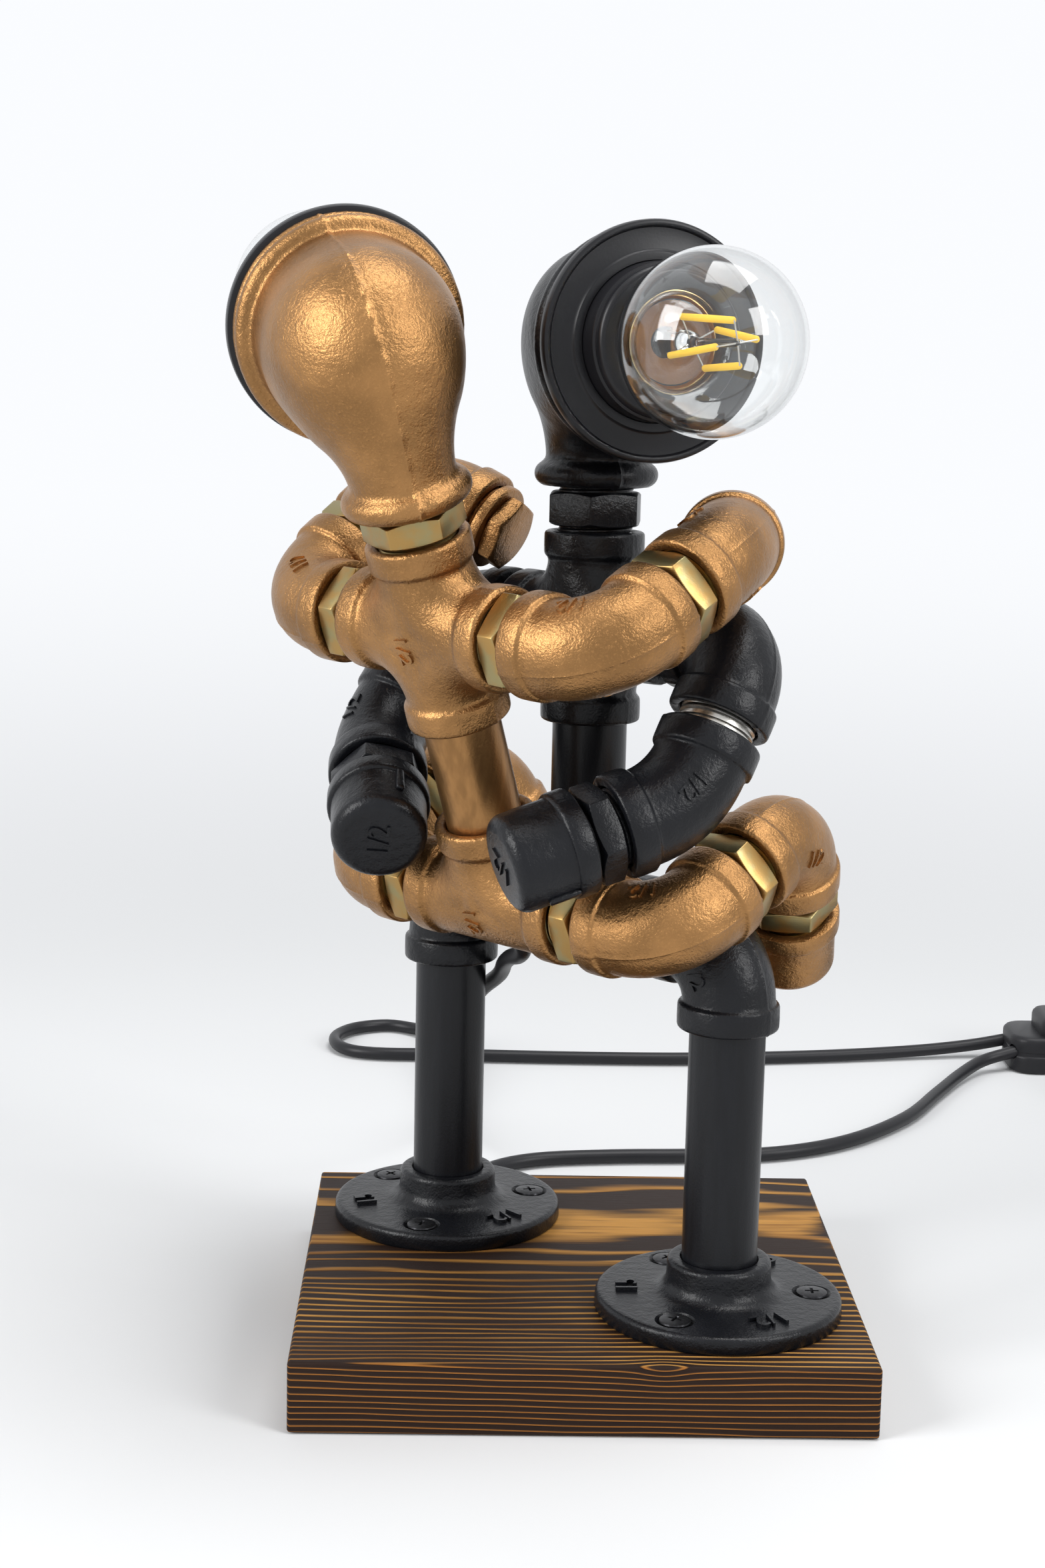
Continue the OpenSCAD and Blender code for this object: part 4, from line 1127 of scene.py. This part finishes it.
MAKERS = {
    "bronze": lambda c: bronze_paint(c.bronze),
    "bronze_pipe": lambda c: bronze_pipe(c.bronze),
    "black": lambda c: black_paint(c.black),
    "black_pipe": lambda c: black_pipe(c.black),
    "yellow_zinc": lambda c: yellow_zinc(c.zinc),
    "bright_thread": lambda c: bare_steel(c.steel),
    "black_zinc": lambda c: black_zinc(c.screw),
    "holder": lambda c: moulded("holder", c.plastic, 0.34, 0.015),
    "switch": lambda c: moulded("switch", c.plastic, 0.42, 0.03),
    "sheath": lambda c: moulded("sheath", c.rubber, 0.4, 0.02),
    "strap": lambda c: moulded("strap", c.rubber, 0.85, 0.12),
    "glass": lambda c: clear_glass(),
    "brass": lambda c: brass_sheet(c.brass),
    "cement": lambda c: moulded("cement", c.cement, 0.4, 0.1),
    "phosphor": lambda c: phosphor(c.phosphor),
    "pine": lambda c: burnt_pine(c.char, c.burnt, c.golden),
}


def coat(kind):
    """The named finish, made the first time it is asked for."""
    name = "Lamp " + kind
    if name not in bpy.data.materials:
        MAKERS[kind](bpy.context.scene.lamp_colours).name = name
    return bpy.data.materials[name]


def gathered(*shapes):
    """One mesh of several shapes, each with the frame that it goes to."""
    bm = bmesh.new()
    for shape, at in shapes:
        bmesh.ops.recalc_face_normals(shape, faces=shape.faces)
        gather(bm, moved(shape, at))
    return bm


def side_mark(bm, x, z, lean):
    """Casts a number on both cheeks of a fitting whose centreline lies in y = 0."""
    reading = Vector((math.cos(math.radians(lean)), 0, math.sin(math.radians(lean))))
    for side in (1, -1):
        cast_mark(bm, "1/2", 7.0, port((x, 24.0 * side, z), (0, side, 0), reading * -side))


def marked_elbow(angle, reach):
    bm = elbow_shape(angle, reach)
    x, z = (2.4, 9.0) if angle == 90 else (1.6, 10.5)
    side_mark(bm, x, BEAD_H + z, 90 - angle / 3)
    return bm


def marked_tee(reach, lower):
    bm = tee_shape(reach, lower, bpy.context.scene.lamp_sizes.casting_voxel / MM)
    side_mark(bm, -1.0, -1.0, -82)
    return bm


def marked_flange(start):
    bm = flange_shape(start)
    for k, text in enumerate(("1/2", "15", "1/2")):
        out = heading(start + 60 + 120 * k)
        cast_mark(bm, text, 9.0, port(out * 25.6 + UP * 12, UP, heading(start - 30 + 120 * k)), 1.8)
    return bm


def marked_cap(lean):
    bm = cap_shape()
    cast_mark(bm, "1/2", 8.5, port((0, 0, 28), UP, heading(lean)))
    return bm


# ---------------------------------------------------------------- operators

class Build:
    """What every build step shares: it builds from the scene's sizes and colours."""

    bl_options = {"REGISTER", "UNDO"}

    def execute(self, context):
        self.build(context.scene.lamp_sizes)
        return {"FINISHED"}


class LAMP_OT_board(Build, bpy.types.Operator):
    """Make the burnt pine plate"""
    bl_idname = "lamp.board"
    bl_label = "Board"

    def build(self, size):
        piece("board", board_shape(size), "pine", "lamp", replaces=["base_plate"], crease=30)


class LAMP_OT_flanges(Build, bpy.types.Operator):
    """Make the two floor flanges and their six screws"""
    bl_idname = "lamp.flanges"
    bl_label = "Flanges and screws"

    def build(self, size):
        places = [(foot + UP * PLATE_T, start) for foot, start in zip(FEET, (-2.0, 13.5))]
        flanges = gathered(*((marked_flange(start), Matrix.Translation(at)) for at, start in places))
        piece("flanges", flanges, "black", "lamp", replaces=["floor_flanges"])
        screws = [(screw_shape(), Matrix.Translation(at + heading(start + 120 * k) * SCREW_CIRCLE)
                   @ turn(31 * k + start)) for at, start in places for k in range(3)]
        piece("screws", gathered(*screws), "black_zinc", "lamp", replaces=["flange_screws"])


class LAMP_OT_legs(Build, bpy.types.Operator):
    """Make the leg pipes, hip elbows, short nipples and hip tee of the standing figure"""
    bl_idname = "lamp.legs"
    bl_label = "Legs and hips"

    def build(self, size):
        pipes = [(pipe_shape(91.2), Matrix.Translation(foot + UP * 23.1)) for foot in FEET]
        piece("leg_tubes", gathered(*pipes), "black_pipe", "lamp", replaces=["leg_pipes"])
        knees = [(marked_elbow(90, REACH), port(foot + UP * 102.3, UP, HIP_AXIS * side))
                 for foot, side in zip(FEET, (-1, 1))]
        piece("hip_bends", gathered(*knees), "black", "lamp", replaces=["hip_elbows"])
        joints = [(short_nipple_shape(3.75), port(HIP + HIP_AXIS * TEE * side, HIP_AXIS * side, UP))
                  for side in (1, -1)]
        piece("hip_threads", gathered(*joints), "black_pipe", "lamp", replaces=["hip_nipples"])
        piece("hip_casting", marked_tee(TEE, False), "black", "lamp",
              port(HIP, UP, HIP_AXIS), ["hip_tee"])


class LAMP_OT_chest(Build, bpy.types.Operator):
    """Make the torso pipe, chest cross, neck nipple and shoulder nipples of the standing figure"""
    bl_idname = "lamp.chest"
    bl_label = "Torso and chest"

    def build(self, size):
        piece("torso_tube", pipe_shape(53.8), "black_pipe", "lamp",
              Matrix.Translation(HIP + UP * PIPE_SEAT), ["torso_pipe"])
        piece("chest_casting", marked_tee(CROSS, True), "black", "lamp",
              port(CHEST, UP, ARM_AXIS), ["chest_cross"])
        piece("neck_hex", nipple_shape(NECK_GAP, 9.6, 24.6), "black", "lamp",
              port(CHEST + UP * CROSS, UP, heading(22)), ["neck_nipple"])
        joints = [(short_nipple_shape(gap), port(CHEST + ARM_AXIS * CROSS * side, ARM_AXIS * side, UP))
                  for side, gap in ((1, ARM_GAP_R), (-1, ARM_GAP_L))]
        piece("shoulder_threads", gathered(*joints), "black_pipe", "lamp", replaces=["shoulder_nipples"])


def head_pieces(prefix, body, at, kind):
    """Casting, ring, lampholder and bulb of one head; prefix names the CAD nodes it stands for."""
    face = at @ FACE
    piece(prefix + "shell", head_shape(), kind, body, at, [prefix + "casting"])
    piece(prefix + "rim", ring_shape(), "holder", body, face, [prefix + "ring"])
    piece(prefix + "holder", holder_shape(), "holder", body, face, [prefix + "lampholder"])
    piece(prefix + "globe", glass_shape(), "glass", body, face, [prefix + "bulb_glass"])
    piece(prefix + "stem", stem_shape(), "glass", body, face)
    piece(prefix + "screw_cap", screw_cap_shape(), "brass", body, face, [prefix + "bulb_cap"])
    piece(prefix + "cement", cement_shape(), "cement", body, face)
    piece(prefix + "sticks", sticks_shape(), "phosphor", body, face, [prefix + "filaments"])
    piece(prefix + "wires", wires_shape(), "bright_thread", body, face)


class LAMP_OT_head(Build, bpy.types.Operator):
    """Make the black head with its bulb"""
    bl_idname = "lamp.head"
    bl_label = "Black head"

    def build(self, size):
        head_pieces("head_", "head", HEAD, "black")


class LAMP_OT_rider_head(Build, bpy.types.Operator):
    """Make the bronze head with its bulb"""
    bl_idname = "lamp.rider_head"
    bl_label = "Bronze head"

    def build(self, size):
        head_pieces("rider_head_", "rider_head", RIDER_HEAD, "bronze")


class LAMP_OT_arms(Build, bpy.types.Operator):
    """Make the two black arms: elbow, bright thread, bent forearm, hex nipple and cap hand"""
    bl_idname = "lamp.arms"
    bl_label = "Black arms"

    def build(self, size):
        for side, (start, outlet, inlet, end), gap, lean in (("r", ARM_R, FOREARM_GAP_R, 35),
                                                             ("l", ARM_L, FOREARM_GAP_L, 40)):
            arm, forearm = "arm_" + side, "forearm_" + side
            piece(arm + "_upper", marked_elbow(90, REACH), "black", arm, start, [arm + "_elbow"])
            piece(arm + "_thread", short_nipple_shape(gap), "bright_thread",
                  NODES[arm + "_nipple"]["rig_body"], outlet, [arm + "_nipple"])
            piece(arm + "_lower", marked_elbow(45, REACH_45), "black", forearm, inlet,
                  [arm + "_forearm"])
            piece(arm + "_wrist", nipple_shape(HEX_GAP), "black", forearm, end, [arm + "_hex"])
            piece(arm + "_hand", marked_cap(lean), "black", forearm,
                  end @ shift(z=HEX_GAP), [arm + "_cap"])


class LAMP_OT_rider_trunk(Build, bpy.types.Operator):
    """Make the hip tee, torso pipe, chest cross and hex nipples of the clinging figure"""
    bl_idname = "lamp.rider_trunk"
    bl_label = "Bronze trunk"

    def build(self, size):
        cutters = bmesh.new()
        way = port((-21, -18.5, 129), (0.3, 0.42, -0.86), UP)
        lathe(cutters, [(0, 0), (2.8, 0), (2.8, 20), (0, 20)], way, 40)
        hips = gathered((marked_tee(TEE, False), port(RIDER_HIP, RIDER_UP, RIDER_HIP_AXIS)))
        piece("rider_hip_casting", cut(hips, cutters), "bronze", "lamp", replaces=["rider_hip_tee"])
        piece("rider_torso_tube", pipe_shape(54.3), "bronze_pipe", "lamp",
              port(RIDER_HIP + RIDER_UP * PIPE_SEAT, RIDER_UP, UP), ["rider_torso_pipe"])
        piece("rider_chest_casting", marked_tee(TEE, True), "bronze", "lamp",
              port(RIDER_CHEST, RIDER_UP, RIDER_ARM_AXIS), ["rider_chest_cross"])
        neck = port(RIDER_CHEST + RIDER_UP * TEE, RIDER_UP, RIDER_ARM_AXIS) @ turn(48)
        hexes = [(nipple_shape(RIDER_NECK_GAP), neck)]
        for centre, axis, gap in ((RIDER_CHEST, RIDER_ARM_AXIS, SHOULDER_GAP),
                                  (RIDER_HIP, RIDER_HIP_AXIS, HEX_GAP)):
            for side in (1, -1):
                hexes.append((nipple_shape(gap), port(centre + axis * TEE * side, axis * side, RIDER_UP)))
        piece("rider_trunk_hexes", gathered(*hexes), "yellow_zinc", "lamp",
              replaces=["rider_hex_nipples"])


class LAMP_OT_rider_legs(Build, bpy.types.Operator):
    """Make the bronze legs: two elbows, two hex nipples and a cap foot each"""
    bl_idname = "lamp.rider_legs"
    bl_label = "Bronze legs"

    def build(self, size):
        for side, (start, outlet, inlet, end) in (("r", RIDER_LEG_R), ("l", RIDER_LEG_L)):
            leg = "rider_leg_" + side
            piece(leg + "_upper", marked_elbow(90, REACH), "bronze", leg, start, [leg + "_thigh"])
            hexes = [(nipple_shape(HEX_GAP), at) for at in (outlet, end)]
            piece(leg + "_nipples", gathered(*hexes), "yellow_zinc", leg, replaces=[leg + "_hexes"])
            piece(leg + "_lower", marked_elbow(90, REACH), "bronze", leg, inlet, [leg + "_shin"])
            piece(leg + "_cap", marked_cap(20), "bronze", leg, end @ shift(z=HEX_GAP), [leg + "_foot"])


class LAMP_OT_rider_arms(Build, bpy.types.Operator):
    """Make the bronze arms: elbow, hex nipple, elbow and plug each"""
    bl_idname = "lamp.rider_arms"
    bl_label = "Bronze arms"

    def build(self, size):
        for side, (start, outlet, inlet, end) in (("r", RIDER_ARM_R), ("l", RIDER_ARM_L)):
            arm, hand = "rider_arm_" + side, "rider_hand_" + side
            lower = marked_elbow(45, REACH_45) if side == "r" else marked_elbow(90, REACH)
            piece(arm + "_first", marked_elbow(90, REACH), "bronze", arm, start, [arm + "_upper"])
            piece(arm + "_nipple", nipple_shape(HEX_GAP), "yellow_zinc", NODES[arm + "_hex"]["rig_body"],
                  outlet, [arm + "_hex"])
            piece(arm + "_second", lower, "bronze", hand, inlet, [arm + "_lower"])
            piece(arm + "_end", plug_shape(), "bronze", hand, end, [arm + "_plug"])


RIDER_FLEX = [
    (-18.6, -16, 121.8), (-17.6, -12.5, 117.6), (-18.6, -3, 113.6), (-20.4, 12, 109.4), (-22, 26, 104),
    (-23.4, 39, 97), (-29.5, 55, 87), (-36, 74, 71), (-39, 100, 48), (-39, 130, 27), (-39, 160, 12),
    (-39, 190, 5), (-39, 222, 6.5), (-39, 250, 10), (-40, 274, 10), (-44, 294, 5), (-53, 308, 2.7),
    (-66, 314, 2.6), (-80, 308, 2.6), (-87, 294, 2.6), (-83, 279, 2.6), (-70, 272, 2.6), (-40, 271.5, 2.6),
    (10, 270, 2.6), (60, 271, 2.6), (110, 277, 2.6), (150, 284, 3.2), (176, 288, 5), (192, 288, 8)]
STANDER_FLEX = [
    (FEET[1].x, 62, 5), (FEET[1].x, 80, 5), (FEET[1].x + 1, 92, 4), (-34, 110, 2.8), (-25, 130, 2.6),
    (-8, 142, 2.6), (20, 147, 2.6), (50, 149, 2.6), (80, 153, 2.6), (108, 168, 2.6), (134, 196, 2.6),
    (152, 228, 2.6), (166, 252, 3.2), (178, 266, 5), (192, 270, 8)]
MAINS_IN = [
    (255, 279, 8), (263, 279, 6.6), (271.4, 277.3, 4.8), (278.6, 272.6, 3.3), (283.3, 265.4, 2.8),
    (285, 257, 2.55), (285, 240, 2.52), (285, 222, 2.52), (285, 205, 2.52)]
MAINS_OUT = [
    (285, 205, 12.54), (285, 195, 12.64), (285, 186, 12.6), (285, 178, 10.6), (285, 168, 7.6),
    (285, 158, 6.85)]


def lay_cord(name, points, size, node):
    """Makes a cord along points in millimetres; its length is worked out but not kept."""
    diameter = size.cord_diameter
    made = piece(name, cord_shape(points, diameter / MM / 2 - 0.03), "sheath", "lamp",
                 replaces=node)
    path = [tuple(point * MM) for point in points]
    length_of(points) * MM


class LAMP_OT_switch(Build, bpy.types.Operator):
    """Make the inline switch with its rocker"""
    bl_idname = "lamp.switch"
    bl_label = "Switch"

    def build(self, size):
        piece("switch_case", switch_shape(), "switch", "lamp", replaces=["switch_body"])
        piece("switch_button", rocker_shape(), "switch", "rocker", replaces=["switch_rocker"])


class LAMP_OT_lamp_cords(Build, bpy.types.Operator):
    """Lay the two cords from the figures to the switch"""
    bl_idname = "lamp.lamp_cords"
    bl_label = "Cords of the figures"

    def build(self, size):
        lay_cord("rider_cord", smooth(RIDER_FLEX, 5), size, ["rider_flex"])
        lay_cord("stander_cord", smooth(STANDER_FLEX, 5), size, ["stander_flex"])


class LAMP_OT_mains_lead(Build, bpy.types.Operator):
    """Lay the mains lead: coiled, tied, and ending in a flat plug"""
    bl_idname = "lamp.mains_lead"
    bl_label = "Mains lead"

    def build(self, size):
        relief = relief_shape(PLUG_AT + Vector((0, -1, 0)), (0, 1, 0), 28.8, 5.6, 3.4, 7)
        piece("plug_relief", relief, "switch", "lamp")
        piece("plug_grip", plug_body_shape(), "switch", "lamp", replaces=["mains_plug"])
        piece("plug_pins", pins_shape(), "bright_thread", "lamp")
        spot = Vector(COIL_AT) + heading(-TIE_ANGLE) * COIL_R + UP * 5.7
        piece("coil_tie", tie_shape(), "strap", "lamp", port(spot, UP, heading(-TIE_ANGLE)))
        points = smooth(MAINS_IN, 3)[:-1] + coiled(9) + smooth(MAINS_OUT, 4)[1:]
        lay_cord("mains_cord", points, size, ["mains_flex", "mains_coil"])


def soft_lamp(name, place, aim, watts, width, depth):
    light = bpy.data.lights.new(name, "AREA")
    light.shape, light.size, light.size_y, light.energy = "RECTANGLE", width, depth, watts
    made = placed(name, light)
    made.location = place
    made.rotation_euler = (Vector(aim) - Vector(place)).to_track_quat("-Z", "Y").to_euler()


def pale_world(brightness):
    """Plain white to the camera and to reflections, dimmer as a light."""
    world = bpy.data.worlds.new("studio")
    bpy.context.scene.world = world
    world.use_nodes = True
    tree = world.node_tree
    tree.nodes.clear()
    rays = tree.nodes.new("ShaderNodeLightPath")
    seen = tree.nodes.new("ShaderNodeMath")
    seen.operation = "MAXIMUM"
    tree.links.new(rays.outputs["Is Camera Ray"], seen.inputs[0])
    tree.links.new(rays.outputs["Is Transmission Ray"], seen.inputs[1])
    either = tree.nodes.new("ShaderNodeMath")
    either.operation = "MAXIMUM"
    tree.links.new(seen.outputs[0], either.inputs[0])
    tree.links.new(rays.outputs["Is Glossy Ray"], either.inputs[1])
    level = tree.nodes.new("ShaderNodeMapRange")
    level.inputs["To Min"].default_value = brightness
    level.inputs["To Max"].default_value = 1.0
    tree.links.new(either.outputs[0], level.inputs["Value"])
    sky = tree.nodes.new("ShaderNodeBackground")
    sky.inputs["Color"].default_value = (0.96, 0.975, 1.0, 1.0)
    tree.links.new(level.outputs[0], sky.inputs["Strength"])
    out = tree.nodes.new("ShaderNodeOutputWorld")
    tree.links.new(sky.outputs[0], out.inputs["Surface"])


def pale_floor(colour):
    """Diffuse near the object, where it keeps the shadow, and plain white far away."""
    kit = Finish("floor")
    x, y, z = kit.parts(kit.place())
    far = (1 - 450.0 / (x * x + y * y).root()).step(0.0, 0.9)
    rays = kit.node("ShaderNodeLightPath")
    seen = rays.value("Is Camera Ray").high(rays.value("Is Glossy Ray"))
    seen = seen.high(rays.value("Is Transmission Ray"))
    glow = kit.node("ShaderNodeEmission", {}, {"Color": (0.96, 0.975, 1.0), "Strength": 1.0})
    kit.feed(kit.shader.inputs["Base Color"], colour)
    kit.feed(kit.shader.inputs["Roughness"], 0.75)
    diffuse = Value(kit, kit.shader.outputs[0])
    mixed = kit.node("ShaderNodeMixShader", {}, {0: far * seen, 1: diffuse, 2: glow.value()})
    kit.feed(kit.output.inputs["Surface"], mixed.value())
    return kit.material


class LAMP_OT_stage(Build, bpy.types.Operator):
    """Set the pale floor, soft light, white surroundings and the camera"""
    bl_idname = "lamp.stage"
    bl_label = "Stage"

    def build(self, size):
        bm = bmesh.new()
        bmesh.ops.create_grid(bm, x_segments=1, y_segments=1, size=6.0)
        mesh = poured("floor", bm)
        mesh.materials.append(pale_floor((0.8, 0.81, 0.82)))
        floor = placed("floor", mesh)
        floor.location.z = -0.0004
        pale_world(0.24)
        soft_lamp("window", (-1.3, -0.7, 0.8), (0, 0, 0.17), 20, 0.7, 1.0)
        soft_lamp("overhead", (0.3, -0.1, 1.6), (0, 0, 0.1), 15, 0.9, 0.9)
        soft_lamp("side", (1.2, -0.9, 0.9), (0, 0, 0.17), 11, 0.5, 0.8)
        view = bpy.data.cameras.new("view")
        view.sensor_fit, view.sensor_width, view.lens = "AUTO", 36.0, 36.0 * 3660 / 2352
        view.clip_start = 0.01
        camera = placed("view", view)
        camera.matrix_world = (Matrix.Translation((-0.035, -0.688, 0.286))
                               @ Matrix.Rotation(math.radians(-1.38), 4, "Z")
                               @ Matrix.Rotation(math.radians(-10.1), 4, "X")
                               @ Matrix.Rotation(math.radians(-1.25), 4, "Y")
                               @ Matrix.Rotation(math.radians(90), 4, "X"))
        bpy.context.scene.camera = camera
        bpy.context.scene.view_settings.view_transform = "Standard"


# ---------------------------------------------------------------- settings and panel

def length(name, description, value):
    return FloatProperty(name=name, description=description, default=value, min=0.0, unit="LENGTH",
                         subtype="DISTANCE", precision=5)


def colour(name, description, value):
    return FloatVectorProperty(name=name, description=description, default=value, size=3, min=0.0, max=1.0,
                               subtype="COLOR")


class LampSizes(bpy.types.PropertyGroup):
    """Sizes of what the visual model adds to the frame."""

    plate_width: length("Plate width", "Left to right", 0.159)
    plate_depth: length("Plate depth", "Front to back", 0.153)
    plate_thickness: length("Plate thickness", "Thickness of the pine", 0.02)
    plate_easing: length("Plate easing", "Rounding of the plate's edges", 0.0009)
    cord_diameter: length("Cord diameter", "Over the sheath", 0.005)
    mark_height: length("Cast mark height", "How far the cast numbers stand proud", 0.0006)
    casting_voxel: length("Casting voxel", "Cell of the skin over tees and crosses", 0.0005)


class LampColours(bpy.types.PropertyGroup):
    """Base colours of the finishes."""

    bronze: colour("Bronze", "Bronze lacquer", (0.315, 0.163, 0.06))
    black: colour("Black", "Black lacquer", (0.006, 0.0065, 0.0085))
    zinc: colour("Yellow zinc", "Hex nipples of the bronze figure", (0.36, 0.27, 0.13))
    steel: colour("Bright thread", "Bare threads and pins", (0.66, 0.64, 0.6))
    screw: colour("Black zinc", "Wood screws", (0.022, 0.022, 0.024))
    plastic: colour("Black plastic", "Lampholders, rings and switch", (0.010, 0.010, 0.012))
    rubber: colour("Sheath", "Cords and strap", (0.010, 0.010, 0.012))
    brass: colour("Brass", "Screw caps of the bulbs", (0.78, 0.58, 0.26))
    cement: colour("Cement", "Amber cement in the caps of the bulbs", (0.44, 0.165, 0.012))
    phosphor: colour("Phosphor", "Light sticks", (1.0, 0.62, 0.03))
    char: colour("Charred wood", "Burnt early wood", (0.018, 0.0065, 0.0025))
    burnt: colour("Brown wood", "Less burnt late wood", (0.30, 0.13, 0.028))
    golden: colour("Golden wood", "Late wood brushed bright", (0.68, 0.34, 0.08))


STEPS = (LAMP_OT_board, LAMP_OT_flanges, LAMP_OT_legs, LAMP_OT_chest, LAMP_OT_head, LAMP_OT_arms,
         LAMP_OT_rider_trunk, LAMP_OT_rider_head, LAMP_OT_rider_legs, LAMP_OT_rider_arms, LAMP_OT_switch,
         LAMP_OT_lamp_cords, LAMP_OT_mains_lead, LAMP_OT_stage)


class LAMP_PT_panel(bpy.types.Panel):
    """Lists the build steps, with the sizes and colours that they use"""
    bl_idname = "LAMP_PT_panel"
    bl_label = "Pipe Figure Lamp"
    bl_space_type = "VIEW_3D"
    bl_region_type = "UI"
    bl_category = "Lamp"

    def draw(self, context):
        for settings in (context.scene.lamp_sizes, context.scene.lamp_colours):
            box_of = self.layout.box()
            for key in settings.__annotations__:
                box_of.prop(settings, key)
        for step in STEPS:
            self.layout.operator(step.bl_idname)


CLASSES = (LampSizes, LampColours, *STEPS, LAMP_PT_panel)


def register():
    for kind in CLASSES:
        bpy.utils.register_class(kind)
    bpy.types.Scene.lamp_sizes = PointerProperty(type=LampSizes)
    bpy.types.Scene.lamp_colours = PointerProperty(type=LampColours)


def unregister():
    del bpy.types.Scene.lamp_colours
    del bpy.types.Scene.lamp_sizes
    for kind in reversed(CLASSES):
        bpy.utils.unregister_class(kind)


def main():
    register()
    for step in STEPS:
        group, name = step.bl_idname.split(".")
        getattr(getattr(bpy.ops, group), name)()


if __name__ == "__main__":
    main()
